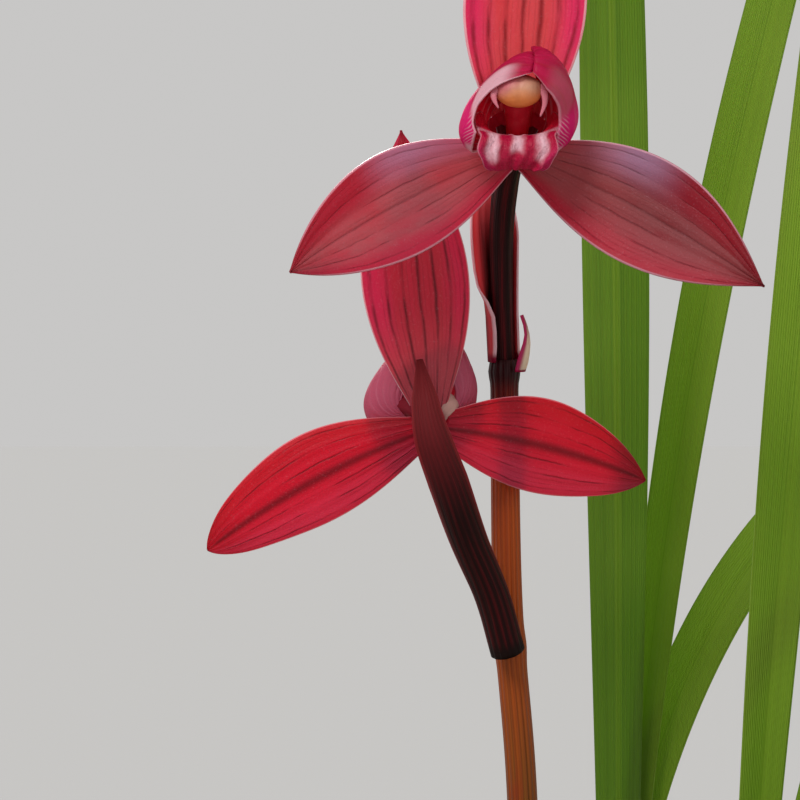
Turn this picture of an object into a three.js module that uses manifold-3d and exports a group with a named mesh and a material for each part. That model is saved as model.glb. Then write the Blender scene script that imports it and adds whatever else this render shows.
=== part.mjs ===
// Potted cymbidium orchid with two red flowers on one stem, narrow arching leaves and a plain clay pot.
// Millimetres, +Z up. The origin is the middle of the pot's flat underside. The upper flower faces -Y, so
// left and right are as seen from there, and front means towards -Y.
import * as THREE from "three";
import { mergeVertices } from "three/addons/utils/BufferGeometryUtils.js";
import Module from "manifold-3d";

const wasm = await Module();
wasm.setup();

// Driving dimensions of the pot and what fills it
const POT_HEIGHT = 140;
const POT_RADIUS = 60;
const POT_BASE_RADIUS = 46;
const POT_WALL = 6;
const POT_FLOOR = 8;
const RIM_HEIGHT = 25;
const RIM_STEP = 4;
const POT_SIDES = 48;
const DRAIN_RADIUS = 6.5;
const DRAIN_RING = 25;
const DRAIN_COUNT = 4;
const CLEARANCE = 0.3;
const MIX_HEIGHT = 124;
const CHIP_COUNT = 50;
const CHIP_SIZE = new THREE.Vector3(14, 9, 5);
const CHIP_TILT = 0.5;
const CHIP_RISE = 1.2;

// Driving dimensions of the pseudobulbs, rhizome and roots
const BULB_HALF_HEIGHT = 12.6;
const BULB_LENGTH = 17;
const BULB_WIDTH = 14;
const BULB_MIDDLE = 129;
const BULB_TOP = 141;
const BULB_RINGS = 7;
const BULB_SIDES = 9;
const RHIZOME_RADIUS = 3;
const RHIZOME_HEIGHT = 114;
const ROOT_RADIUS = 2;
const ROOT_TIP_RADIUS = 1.3;
const ROOT_COUNT = 7;
const ROOT_REACH = 34;

// Driving dimensions of the flower stem
const SCAPE_FOOT_RADIUS = 2.5;
const SCAPE_TOP_RADIUS = 1.85;
const SCAPE_PATH = [
  new THREE.Vector3(-11.2, -12, RHIZOME_HEIGHT + RHIZOME_RADIUS + CLEARANCE),
  new THREE.Vector3(-13.4, -12.5, 180),
  new THREE.Vector3(-15.1, -12.9, 238),
  new THREE.Vector3(-17, -13.6, 262),
  new THREE.Vector3(-17.5, -14, 286),
  new THREE.Vector3(-17.6, -14.2, 296.3),
];
const SHEATH_LENGTH = 33;
const SHEATH_FOOTS = [131, 166, 200];
const SHEATH_WRAP = 158;
const SHEATH_FLARE = 0.9;

// Driving dimensions of the flowers, each in its own frame: side, up and out of the flower's face
const SEPAL_THICKNESS = 0.8;
const BRACT_THICKNESS = 0.6;
const SEPAL_START = 1.9;
const SEPAL_TIP = 0.3;
const HOOD_CENTRE = new THREE.Vector3(0.2, 4.5, 6.5);
const HOOD_RADII = new THREE.Vector3(7.5, 7.4, 5);
const HOOD_TAPER = 0.27;
const HOOD_LEAN = 1.5;
const PETAL_BASE = new THREE.Vector3(3, 1.4, 1.9);
const PETAL_DRAW = 0.84;
const PETAL_FOOT_TURN = 240;
const PETAL_TILT = [34, 112];
const PETAL_FRONT_REACH = [46, 23];
const PETAL_BACK_REACH = [26, 70];
const PETAL_SWING = [36, 11];
const LIP_HALF = [1.1, 5.3];
const LIP_TIP_NARROWING = 2.2;
const LIP_LOBE_HEIGHT = 3.2;
const LIP_ROLL = [0.35, 1.25];
const LIP_PATH = [
  new THREE.Vector3(0, -2.1, 1.3),
  new THREE.Vector3(0, -1.1, 3.6),
  new THREE.Vector3(0, 0.1, 6.4),
  new THREE.Vector3(0, 1.1, 8.8),
  new THREE.Vector3(0, 0.3, 10.4),
  new THREE.Vector3(0, -1.6, 10.5),
  new THREE.Vector3(0, -3, 9.6),
];
const COLUMN_PATH = [
  new THREE.Vector3(0, 0, -0.4),
  new THREE.Vector3(0, 0.3, 1.2),
  new THREE.Vector3(0, 2.2, 3.4),
  new THREE.Vector3(0, 4.9, 4.8),
  new THREE.Vector3(0, 7, 6.2),
  new THREE.Vector3(0, 7.4, 7.6),
];
const COLUMN_RADII = [1.3, 1.35, 1.5, 1.7, 2, 2.2];
const CAP_CENTRE = new THREE.Vector3(0.15, 7.3, 8.5);
const CAP_RADIUS = 2.15;
const CAP_WIDTH = 6.4;
const CAP_DEPTH = 2.2;
const STALK_END = -0.8;

// Driving dimensions of the leaves
const LEAF_THICKNESS = 0.9;
const LEAF_FOOT_SHARE = 0.42;
const LEAF_SPACING = 1.8;
const LEAF_WIDEST = 0.6;
const LEAF_FOLD_FOOT = 42;
const LEAF_FOLD_TIP = 13;
const LEAF_TIP = 0.35;
const SPINE_STEPS = 120;

const material = (color, roughness) =>
  new THREE.MeshStandardMaterial({ color, roughness, metalness: 0, flatShading: true });
const CLAY = material(0xb5623f, 0.85);
const BARK = material(0x5a3a24, 0.95);
const BULB_GREEN = material(0x7d8a4a, 0.6);
const LEAF_GREEN = material(0x56781f, 0.5);
const SCAPE_BROWN = material(0x7a401b, 0.5);
const STALK_MAROON = material(0x34100e, 0.5);
const SHEATH_PINK = material(0x9a6a54, 0.7);
const SEPAL_RED = material(0xa3303a, 0.55);
const PETAL_PINK = material(0xb53a5c, 0.55);
const LIP_CRIMSON = material(0xa01840, 0.5);
const COLUMN_RED = material(0x7c1020, 0.5);
const CAP_CREAM = material(0xd59a6a, 0.5);
const TIP_CREAM = material(0xc2a08a, 0.6);

const radians = THREE.MathUtils.degToRad;
const clamp = THREE.MathUtils.clamp;
const lerp = THREE.MathUtils.lerp;
const smoothstep = THREE.MathUtils.smoothstep;
const vector = (x, y, z) => new THREE.Vector3(x, y, z);

// A draw between 0 and 1 that is the same each run
function draw(n) {
  const wave = Math.sin(n * 12.9898) * 43758.5453;
  return wave - Math.floor(wave);
}

// Solids

// A solid from shared vertices and triangles, turned so that its faces point outwards
function solidFrom(points, triangles) {
  let volume = 0;
  for (const [a, b, c] of triangles) {
    volume += points[a].dot(vector(0, 0, 0).crossVectors(points[b], points[c]));
  }
  const order = volume < 0 ? ([a, b, c]) => [a, c, b] : (corners) => corners;
  return new wasm.Manifold(
    new wasm.Mesh({
      numProp: 3,
      vertProperties: new Float32Array(points.flatMap((p) => [p.x, p.y, p.z])),
      triVerts: new Uint32Array(triangles.flatMap(order)),
    }),
  );
}

// A closed geometry as a solid, with its shared vertices merged
function solidOf(geometry) {
  const bare = geometry.clone();
  bare.deleteAttribute("normal");
  bare.deleteAttribute("uv");
  const merged = mergeVertices(bare, 1e-4);
  const place = merged.getAttribute("position");
  const points = [];
  for (let i = 0; i < place.count; i += 1) {
    points.push(new THREE.Vector3().fromBufferAttribute(place, i));
  }
  const triangles = [];
  for (let i = 0; i < merged.index.count; i += 3) {
    const corners = [merged.index.getX(i), merged.index.getX(i + 1), merged.index.getX(i + 2)];
    if (new Set(corners).size === 3) {
      triangles.push(corners);
    }
  }
  return solidFrom(points, triangles);
}

// The largest body of a solid, without the scraps that a cut leaves
function mainBody(solid) {
  return solid.decompose().sort((a, b) => b.volume() - a.volume())[0];
}

// A named mesh from a solid
function meshOf(name, solid, finish) {
  const made = solid.getMesh();
  const geometry = new THREE.BufferGeometry();
  geometry.setAttribute("position", new THREE.BufferAttribute(made.vertProperties, 3));
  geometry.setIndex(new THREE.BufferAttribute(made.triVerts, 1));
  const mesh = new THREE.Mesh(geometry, finish);
  mesh.name = name;
  return mesh;
}

// A blade of even thickness on a surface(u, v), u from 0 to 1 along it and v from -1 to 1 across it. Each
// vertex moves half the thickness along the surface's normal, and both faces are split alike.
function blade(surface, thickness, alongSteps, acrossSteps) {
  const near = 1e-3;
  const points = [];
  for (const side of [0.5, -0.5]) {
    for (let i = 0; i <= alongSteps; i += 1) {
      for (let j = 0; j <= acrossSteps; j += 1) {
        const u = i / alongSteps;
        const v = (2 * j) / acrossSteps - 1;
        const along = surface(Math.min(u + near, 1), v).sub(surface(Math.max(u - near, 0), v));
        const across = surface(u, Math.min(v + near, 1)).sub(surface(u, Math.max(v - near, -1)));
        const normal = along.cross(across).normalize();
        points.push(surface(u, v).addScaledVector(normal, side * thickness));
      }
    }
  }
  const row = acrossSteps + 1;
  const back = (alongSteps + 1) * row;
  const triangles = [];
  for (let i = 0; i < alongSteps; i += 1) {
    for (let j = 0; j < acrossSteps; j += 1) {
      const a = i * row + j;
      triangles.push([a, a + row, a + row + 1], [a, a + row + 1, a + 1]);
      triangles.push([back + a, back + a + row + 1, back + a + row]);
      triangles.push([back + a, back + a + 1, back + a + row + 1]);
    }
  }
  const count = (steps) => [...Array(steps).keys()];
  const edge = [
    ...count(alongSteps).map((i) => i * row),
    ...count(acrossSteps).map((j) => alongSteps * row + j),
    ...count(alongSteps).map((i) => (alongSteps - i) * row + acrossSteps),
    ...count(acrossSteps).map((j) => acrossSteps - j),
  ];
  edge.forEach((a, k) => {
    const b = edge[(k + 1) % edge.length];
    triangles.push([b, a, back + a], [b, back + a, back + b]);
  });
  return solidFrom(points, triangles);
}

// A stalk along a smooth curve through the points, with its radius read along the list of radii. Where a
// plane is given, the far end runs on to it and is cut there.
function stalk(points, radii, sides, steps, plane) {
  const curve = new THREE.CatmullRomCurve3(points, false, "centripetal");
  const frames = curve.computeFrenetFrames(steps, false);
  const rings = [];
  for (let i = 0; i <= steps; i += 1) {
    const place = (i / steps) * (radii.length - 1);
    const low = Math.min(Math.floor(place), radii.length - 2);
    const radius = lerp(radii[low], radii[low + 1], place - low);
    const middle = curve.getPointAt(i / steps);
    for (let j = 0; j < sides; j += 1) {
      const turn = (2 * Math.PI * j) / sides;
      const out = frames.normals[i].clone().multiplyScalar(Math.cos(turn) * radius);
      out.addScaledVector(frames.binormals[i], Math.sin(turn) * radius);
      rings.push(out.add(middle));
    }
  }
  const end = frames.tangents[steps];
  rings.slice(-sides).forEach((point) => {
    if (plane) {
      point.addScaledVector(end, -plane.distanceToPoint(point) / plane.normal.dot(end));
    }
  });
  const first = rings.push(curve.getPointAt(0)) - 1;
  const last = rings.push(curve.getPointAt(1)) - 1;
  const triangles = [];
  for (let j = 0; j < sides; j += 1) {
    const next = (j + 1) % sides;
    triangles.push([first, j, next]);
    triangles.push([last, steps * sides + next, steps * sides + j]);
    for (let i = 0; i < steps; i += 1) {
      const a = i * sides + j;
      const b = i * sides + next;
      triangles.push([a, a + sides, b + sides], [a, b + sides, b]);
    }
  }
  return solidFrom(rings, triangles);
}

// A turned body around the Z axis from a profile of [radius, height] pairs
function turned(profile, sides) {
  const points = profile.map(([radius, height]) => new THREE.Vector2(radius, height));
  return solidOf(new THREE.LatheGeometry(points, sides).rotateX(Math.PI / 2));
}

// Pot and potting mix

const rimFoot = POT_HEIGHT - RIM_HEIGHT;
const innerFloorRadius = POT_BASE_RADIUS - POT_WALL + 1;
const innerRimRadius = POT_RADIUS - RIM_STEP - POT_WALL + 2;

function pot() {
  const shell = turned(
    [
      [0, 0],
      [POT_BASE_RADIUS - 1.5, 0],
      [POT_BASE_RADIUS, 1.5],
      [POT_RADIUS - RIM_STEP, rimFoot],
      [POT_RADIUS - 1, rimFoot + 1],
      [POT_RADIUS, rimFoot + 3],
      [POT_RADIUS, POT_HEIGHT - 2.5],
      [POT_RADIUS - 2, POT_HEIGHT],
      [POT_RADIUS - 4.5, POT_HEIGHT],
      [innerRimRadius + 1, POT_HEIGHT - 3],
      [innerRimRadius, rimFoot],
      [innerFloorRadius, POT_FLOOR],
      [0, POT_FLOOR],
    ],
    POT_SIDES,
  );
  let bored = shell;
  for (let i = 0; i < DRAIN_COUNT; i += 1) {
    const turn = (2 * Math.PI * (i + 0.5)) / DRAIN_COUNT;
    const hole = new THREE.CylinderGeometry(DRAIN_RADIUS, DRAIN_RADIUS, 3 * POT_FLOOR, 12);
    hole.rotateX(Math.PI / 2);
    hole.translate(DRAIN_RING * Math.cos(turn), DRAIN_RING * Math.sin(turn), 0);
    bored = bored.subtract(solidOf(hole));
  }
  return bored;
}

// Bark chips lie on the mix at drawn places and turns, sunk into it
function barkChip(n) {
  const reach = innerRimRadius - 8;
  const size = CHIP_SIZE.clone().multiplyScalar(0.6 + 0.5 * draw(n));
  const chip = new THREE.BoxGeometry(size.x, size.y, size.z);
  chip.rotateX(CHIP_TILT * (draw(n + 0.1) - 0.5));
  chip.rotateY(CHIP_TILT * (draw(n + 0.2) - 0.5));
  chip.rotateZ(Math.PI * draw(n + 0.3));
  const ring = reach * Math.sqrt(draw(n + 0.4));
  const turn = 2 * Math.PI * draw(n + 0.5);
  chip.translate(ring * Math.cos(turn), ring * Math.sin(turn), MIX_HEIGHT + CHIP_RISE * draw(n + 0.6));
  return solidOf(chip);
}

function pottingMix(holes) {
  const wallRadius = (height) =>
    lerp(innerFloorRadius, innerRimRadius, (height - POT_FLOOR) / (rimFoot - POT_FLOOR)) - CLEARANCE;
  const foot = POT_FLOOR + CLEARANCE;
  let mix = turned(
    [
      [0, foot],
      [wallRadius(foot), foot],
      [innerRimRadius - CLEARANCE - 0.1, rimFoot - 1],
      [innerRimRadius - CLEARANCE - 0.1, MIX_HEIGHT - 1],
      [innerRimRadius - 3, MIX_HEIGHT],
      [0, MIX_HEIGHT],
    ],
    POT_SIDES,
  );
  for (let n = 1; n <= CHIP_COUNT; n += 1) {
    mix = mix.add(barkChip(n));
  }
  return mainBody(holes.reduce((left, hole) => left.subtract(hole), mix));
}

// Shoots: each has a pseudobulb and a fan of leaves whose feet stand in a row along the fan. A leaf leans
// towards its azimuth, from its first lean to its last at a power of its length, and turns its face from the
// first azimuth to the last.

const SHOOTS = [
  {
    name: "middle",
    place: vector(0, 15, 0),
    fan: 90,
    leaves: [
      { step: -3, azimuth: -96, lean: [14, 120, 1], length: 135, width: 8.6, face: [-90, -96] },
      { step: -2, azimuth: -82, lean: [7, 112, 1], length: 150, width: 9, face: [-90, -82] },
      { step: -1, azimuth: -102, lean: [0, 26, 2.6], length: 318, width: 10.6, face: [-90, -94] },
      { step: 1, azimuth: 25, lean: [-2, 27, 1], length: 336, width: 8.4, face: [90, 66] },
      { step: 2.8, azimuth: 12, lean: [-4, 140, 2], length: 245, width: 9.2, face: [90, 52] },
      { step: 3.8, azimuth: 44, lean: [14, 118, 1], length: 215, width: 9, face: [90, 44] },
    ],
  },
  {
    name: "right",
    place: vector(14.5, 2, 0),
    fan: 90,
    leaves: [
      { step: -2, azimuth: -76, lean: [8, 110, 1], length: 220, width: 9, face: [-90, -76] },
      { step: -1, azimuth: -4, lean: [3, 62, 1.3], length: 325, width: 9.6, face: [-90, -24] },
      { step: 1, azimuth: 5, lean: [2.4, 8, 1], length: 300, width: 9.4, face: [90, 78] },
      { step: 2, azimuth: 12, lean: [4, 76, 1.2], length: 300, width: 9.6, face: [90, 30] },
      { step: 3, azimuth: 62, lean: [12, 116, 1], length: 205, width: 8.8, face: [90, 62] },
    ],
  },
  {
    name: "front",
    place: vector(31, -13, 0),
    fan: 80,
    leaves: [
      { step: -2, azimuth: -70, lean: [9, 112, 1.1], length: 235, width: 9, face: [-100, -70] },
      { step: -1, azimuth: -48, lean: [3, 56, 1.5], length: 320, width: 9.6, face: [-100, -56] },
      { step: 1, azimuth: -8, lean: [2, 52, 1.6], length: 335, width: 9.8, face: [80, 10] },
      { step: 2, azimuth: 30, lean: [6, 100, 1], length: 250, width: 9.2, face: [80, 36] },
      { step: 3, azimuth: 18, lean: [16, 122, 1], length: 165, width: 8.2, face: [80, 22] },
    ],
  },
  {
    name: "back",
    place: vector(-18, 21, 0),
    fan: 110,
    leaves: [
      { step: -2.1, azimuth: -168, lean: [24, 124, 1], length: 120, width: 7.6, face: [-70, -168] },
      { step: -1, azimuth: 168, lean: [10, 116, 1], length: 145, width: 8.4, face: [-70, -180] },
      { step: 1, azimuth: 146, lean: [10, 116, 1], length: 160, width: 8.8, face: [110, 146] },
      { step: 2, azimuth: 104, lean: [20, 124, 1], length: 150, width: 8.2, face: [110, 104] },
    ],
  },
  {
    name: "left",
    place: vector(-22, -2, 0),
    fan: 90,
    leaves: [
      { step: -2, azimuth: -108, lean: [20, 122, 1], length: 125, width: 7.8, face: [-90, -108] },
      { step: -1, azimuth: -136, lean: [9, 116, 1], length: 145, width: 8.6, face: [-90, -136] },
      { step: 1, azimuth: -166, lean: [10, 118, 1], length: 150, width: 8.6, face: [90, 190] },
      { step: 2, azimuth: 180, lean: [22, 124, 1], length: 105, width: 7.4, face: [90, 180] },
    ],
  },
];

const heading = (degrees) => vector(Math.cos(radians(degrees)), Math.sin(radians(degrees)), 0);

// A pseudobulb: an egg flattened across the fan, cut level where its leaves stand
function pseudobulb(shoot, grow) {
  const profile = [[0, -BULB_HALF_HEIGHT - grow]];
  for (let i = 1; i < BULB_RINGS; i += 1) {
    const turn = Math.PI * (i / BULB_RINGS) - Math.PI / 2;
    const height = Math.min(BULB_HALF_HEIGHT * Math.sin(turn), BULB_TOP - BULB_MIDDLE);
    profile.push([Math.cos(turn), height]);
  }
  profile.push([0, BULB_TOP - BULB_MIDDLE + grow]);
  const points = profile.map(([radius, height]) => new THREE.Vector2(radius, height));
  const egg = new THREE.LatheGeometry(points, BULB_SIDES).rotateX(Math.PI / 2);
  egg.scale(BULB_LENGTH / 2 + grow, BULB_WIDTH / 2 + grow, 1);
  egg.rotateZ(radians(shoot.fan));
  egg.translate(shoot.place.x, shoot.place.y, BULB_MIDDLE);
  return solidOf(egg);
}

// The roots leave the rhizome in turn and run out and down to the pot's wall
function root(n, grow) {
  const shoot = SHOOTS[n % SHOOTS.length];
  const turn = (360 * n) / ROOT_COUNT + 30 * draw(n);
  const start = shoot.place.clone().setZ(RHIZOME_HEIGHT + 2);
  const reach = (share, height) => {
    const out = heading(turn).multiplyScalar(ROOT_REACH + 6 * draw(n + 0.5));
    return start.clone().lerp(out, share).setZ(height);
  };
  const path = [start, reach(0.55, 92), reach(1, 62), reach(0.92, 28)];
  return stalk(path, [ROOT_RADIUS + grow, ROOT_RADIUS + grow, ROOT_TIP_RADIUS + grow], 5, 5);
}

// All that grows under the leaves as one piece, grown by a clearance where it makes the hole for itself
function bulbsAndRoots(grow) {
  const height = (place) => place.clone().setZ(RHIZOME_HEIGHT);
  const order = ["front", "right", "middle", "back", "left"];
  const places = order.map((name) => height(SHOOTS.find((shoot) => shoot.name === name).place));
  places.push(vector(SCAPE_PATH[0].x - 1, SCAPE_PATH[0].y - 1, RHIZOME_HEIGHT));
  const radius = RHIZOME_RADIUS + grow;
  let joined = stalk(places, [radius, radius], 6, 12);
  for (const shoot of SHOOTS) {
    joined = joined.add(pseudobulb(shoot, grow));
  }
  for (let n = 0; n < ROOT_COUNT; n += 1) {
    joined = joined.add(root(n, grow));
  }
  return joined;
}

// Leaves

// The leaf's middle line: points at even steps along it and the direction there, leaning more and more
function leafSpine(leaf) {
  const [first, last, power] = leaf.lean;
  const out = heading(leaf.azimuth);
  const places = [vector(0, 0, 0)];
  for (let i = 0; i < SPINE_STEPS; i += 1) {
    const lean = radians(first + (last - first) * ((i + 0.5) / SPINE_STEPS) ** power);
    const step = vector(0, 0, Math.cos(lean)).addScaledVector(out, Math.sin(lean));
    places.push(places[i].clone().addScaledVector(step, leaf.length / SPINE_STEPS));
  }
  return (s) => {
    const place = clamp(s, 0, 1) * SPINE_STEPS;
    const low = Math.min(Math.floor(place), SPINE_STEPS - 1);
    const tangent = places[low + 1].clone().sub(places[low]).normalize();
    return { point: places[low].clone().lerp(places[low + 1], place - low), tangent };
  };
}

// A strap leaf with a V section: narrow at its foot, widest past its middle, pointed at its tip
function strapLeaf(shoot, leaf) {
  const spine = leafSpine(leaf);
  const along = leaf.step * LEAF_SPACING;
  const inset = (2 * (Math.abs(along) - LEAF_THICKNESS)) / BULB_LENGTH;
  const shoulder = BULB_MIDDLE + BULB_HALF_HEIGHT * Math.sqrt(1 - inset ** 2);
  const foot = shoot.place.clone().setZ(Math.min(shoulder, BULB_TOP) + CLEARANCE);
  foot.addScaledVector(heading(shoot.fan), along);
  const surface = (s, v) => {
    const { point, tangent } = spine(s);
    const facing = lerp(leaf.face[0], leaf.face[1], smoothstep(s, 0.1, 0.8));
    const side = heading(facing + 90);
    side.addScaledVector(tangent, -side.dot(tangent)).normalize();
    const inner = tangent.clone().cross(side);
    const opened = Math.min(1, s / LEAF_WIDEST);
    const swell = lerp(LEAF_FOOT_SHARE, 1, Math.sin((Math.PI / 2) * opened) ** 2);
    const half = Math.max((leaf.width / 2) * swell * (1 - s ** 5) ** 0.8, LEAF_TIP);
    const fold = radians(lerp(LEAF_FOLD_FOOT, LEAF_FOLD_TIP, opened));
    return point
      .clone()
      .add(foot)
      .addScaledVector(side, half * v * Math.cos(fold))
      .addScaledVector(inner, half * Math.abs(v) * Math.sin(fold));
  };
  return blade(surface, LEAF_THICKNESS, 13, 2);
}

// Flower stem and its sheaths

const scapeCurve = new THREE.CatmullRomCurve3(SCAPE_PATH, false, "centripetal");

function scape(grow) {
  const radii = [SCAPE_FOOT_RADIUS, 2.4, 2.25, 2.1, 2.05, SCAPE_TOP_RADIUS].map((radius) => radius + grow);
  const foot = SCAPE_PATH[0].clone().setZ(SCAPE_PATH[0].z - grow);
  return stalk([foot, ...SCAPE_PATH.slice(1)], radii, 10, 15);
}

// The curve's point at a height
function scapeAt(height) {
  const share = (height - SCAPE_PATH[0].z) / (SCAPE_PATH.at(-1).z - SCAPE_PATH[0].z);
  return scapeCurve.getPointAt(clamp(share, 0, 1));
}

// A sheath wraps the stem nearly round and opens towards its pointed tip
function sheath(n) {
  const opening = radians(60 + 150 * n);
  const surface = (u, v) => {
    const height = SHEATH_FOOTS[n] + SHEATH_LENGTH * u;
    const wrap = radians(SHEATH_WRAP) * (1 - 0.86 * u ** 3);
    const radius = SCAPE_FOOT_RADIUS + CLEARANCE + BRACT_THICKNESS / 2 + 0.1 + SHEATH_FLARE * u ** 2;
    const turn = opening + wrap * v;
    const middle = scapeAt(height);
    return vector(middle.x + radius * Math.cos(turn), middle.y + radius * Math.sin(turn), height);
  };
  return blade(surface, BRACT_THICKNESS, 5, 8);
}

// Flowers

// A flower's frame: its centre, the azimuth that it faces, and a side direction that points right
function flowerFrame(centre, facing) {
  const out = heading(facing);
  const side = vector(-out.y, out.x, 0);
  if (side.x < 0) {
    side.negate();
  }
  const up = vector(0, 0, 1);
  return (x, y, z) =>
    centre.clone().addScaledVector(side, x).addScaledVector(up, y).addScaledVector(out, z);
}

// A sepal's middle line leaves the centre at the spin angle and sweeps forward on an arc. Its half width is
// a broad oval with a pointed tip, on a foot that narrows out, and its section is rolled to a shallow arc.
function sepalSurface(place, sepal) {
  const { spin, sweep, length, width, foot, roll, bow } = sepal;
  const [first, more] = sweep.map(radians);
  return (u, v) => {
    const turn = first + more * u;
    const reach = SEPAL_START + (length * (Math.sin(turn) - Math.sin(first))) / more;
    const rise = (length * (Math.cos(first) - Math.cos(turn))) / more;
    const half = Math.max(width * (4 * u * (1 - u)) ** 1.1 + foot * (1 - u) ** 3, SEPAL_TIP);
    const offset = (half / roll) * Math.sin(roll * v) + bow * 4 * u * (1 - u);
    const lift = (half / roll) * (1 - Math.cos(roll * v));
    const ray = reach - lift * Math.sin(turn);
    const [c, s] = [Math.cos(radians(spin)), Math.sin(radians(spin))];
    return place(c * ray - s * offset, s * ray + c * offset, rise + lift * Math.cos(turn));
  };
}

// A petal is a patch of the bell-shaped hood over the column, which narrows and leans towards its top, drawn
// in to the petal's base. Its middle line runs from low at the back to the top at the front. The side is -1
// for the left petal and 1 for the right one, whose tip is lifted over the left one's.
function petalSurface(place, { side, tipTurn, lift }) {
  const base = vector(side * PETAL_BASE.x, PETAL_BASE.y, PETAL_BASE.z);
  return (u, v) => {
    const half = Math.max((4 * u * (1 - u)) ** 0.5, 0.12) * (u > 0.5 ? 1 : lerp(0.4, 1, 2 * u));
    const reach = v > 0 ? lerp(...PETAL_FRONT_REACH, u) : lerp(...PETAL_BACK_REACH, u);
    const swing = PETAL_SWING[0] * v + PETAL_SWING[1] * v * v;
    const turn = radians(lerp(PETAL_FOOT_TURN, tipTurn, u) + swing * half);
    const tilt = radians(lerp(...PETAL_TILT, u) + reach * half * v);
    const across = -side * Math.cos(turn) * Math.sin(tilt);
    const upward = Math.sin(turn) * Math.sin(tilt);
    const out = vector(across * (1 - HOOD_TAPER * upward), upward, -Math.cos(tilt)).multiply(HOOD_RADII);
    out.multiplyScalar(1 + lift * smoothstep(u, 0.6, 0.9)).add(HOOD_CENTRE);
    out.x += HOOD_LEAN * upward;
    const drawn = base.clone().lerp(out, 1 - PETAL_DRAW * (1 - u) ** 5);
    return place(drawn.x, drawn.y, drawn.z);
  };
}

// The lip's floor runs forward under the column with its side lobes rolled up, then bends down and back
function lipSurface(place) {
  const middle = new THREE.CatmullRomCurve3(LIP_PATH);
  return (u, v) => {
    const point = middle.getPointAt(u);
    const along = middle.getTangentAt(u);
    const inner = vector(0, along.z, -along.y);
    const lobes = smoothstep(u, 0.2, 0.4) * (1 - smoothstep(u, 0.44, 0.62));
    const narrowing = LIP_TIP_NARROWING * clamp((u - 0.8) / 0.2, 0, 1) ** 3;
    const half = lerp(...LIP_HALF, smoothstep(u, 0, 0.6)) - narrowing + LIP_LOBE_HEIGHT * lobes;
    const roll = LIP_ROLL[0] + LIP_ROLL[1] * lobes;
    const x = (half / roll) * Math.sin(roll * v);
    const lift = (half / roll) * (1 - Math.cos(roll * v));
    return place(x, point.y + inner.y * lift, point.z + inner.z * lift);
  };
}

// The column arches forward from the flower's centre under the hood
function column(place) {
  return stalk(
    COLUMN_PATH.map(({ x, y, z }) => place(x, y, z)),
    COLUMN_RADII,
    10,
    10,
  );
}

// The cap is a low dome on the column's end
function antherCap(place) {
  const rings = 4;
  const profile = [[0, 0]];
  for (let i = 0; i <= rings; i += 1) {
    const turn = (Math.PI / 2) * (i / rings);
    profile.push([CAP_RADIUS * Math.cos(turn), CAP_DEPTH * Math.sin(turn)]);
  }
  profile[profile.length - 1][0] = 0;
  const dome = turned(profile, 14).getMesh();
  const points = [];
  for (let i = 0; i < dome.numVert; i += 1) {
    const [x, y, z] = dome.vertProperties.subarray(3 * i, 3 * i + 3);
    const across = (x * CAP_WIDTH) / 2 / CAP_RADIUS;
    points.push(place(CAP_CENTRE.x + across, CAP_CENTRE.y + y, CAP_CENTRE.z + z));
  }
  const triangles = [];
  for (let i = 0; i < dome.numTri; i += 1) {
    triangles.push([...dome.triVerts.subarray(3 * i, 3 * i + 3)]);
  }
  return solidFrom(points, triangles);
}

// A bract is a trough round one side of a stalk. Its middle faces the given azimuth, its half wrap and its
// distance from the stalk's middle line are read along its length.
function bract({ path, facing, wraps, radii }, alongSteps, acrossSteps) {
  const curve = new THREE.CatmullRomCurve3(path, false, "centripetal");
  const read = (list, u) => {
    const place = u * (list.length - 1);
    const low = Math.min(Math.floor(place), list.length - 2);
    return lerp(list[low], list[low + 1], place - low);
  };
  const surface = (u, v) => {
    const along = curve.getTangentAt(u);
    const out = heading(facing);
    out.addScaledVector(along, -out.dot(along)).normalize();
    const side = along.clone().cross(out);
    const turn = radians(read(wraps, u)) * v;
    const radius = read(radii, u);
    return curve
      .getPointAt(u)
      .addScaledVector(out, radius * Math.cos(turn))
      .addScaledVector(side, radius * Math.sin(turn));
  };
  return blade(surface, BRACT_THICKNESS, alongSteps, acrossSteps);
}

const PETALS = {
  left_petal: { side: -1, tipTurn: 96, lift: 0 },
  right_petal: { side: 1, tipTurn: 84, lift: 0.17 },
};

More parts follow.
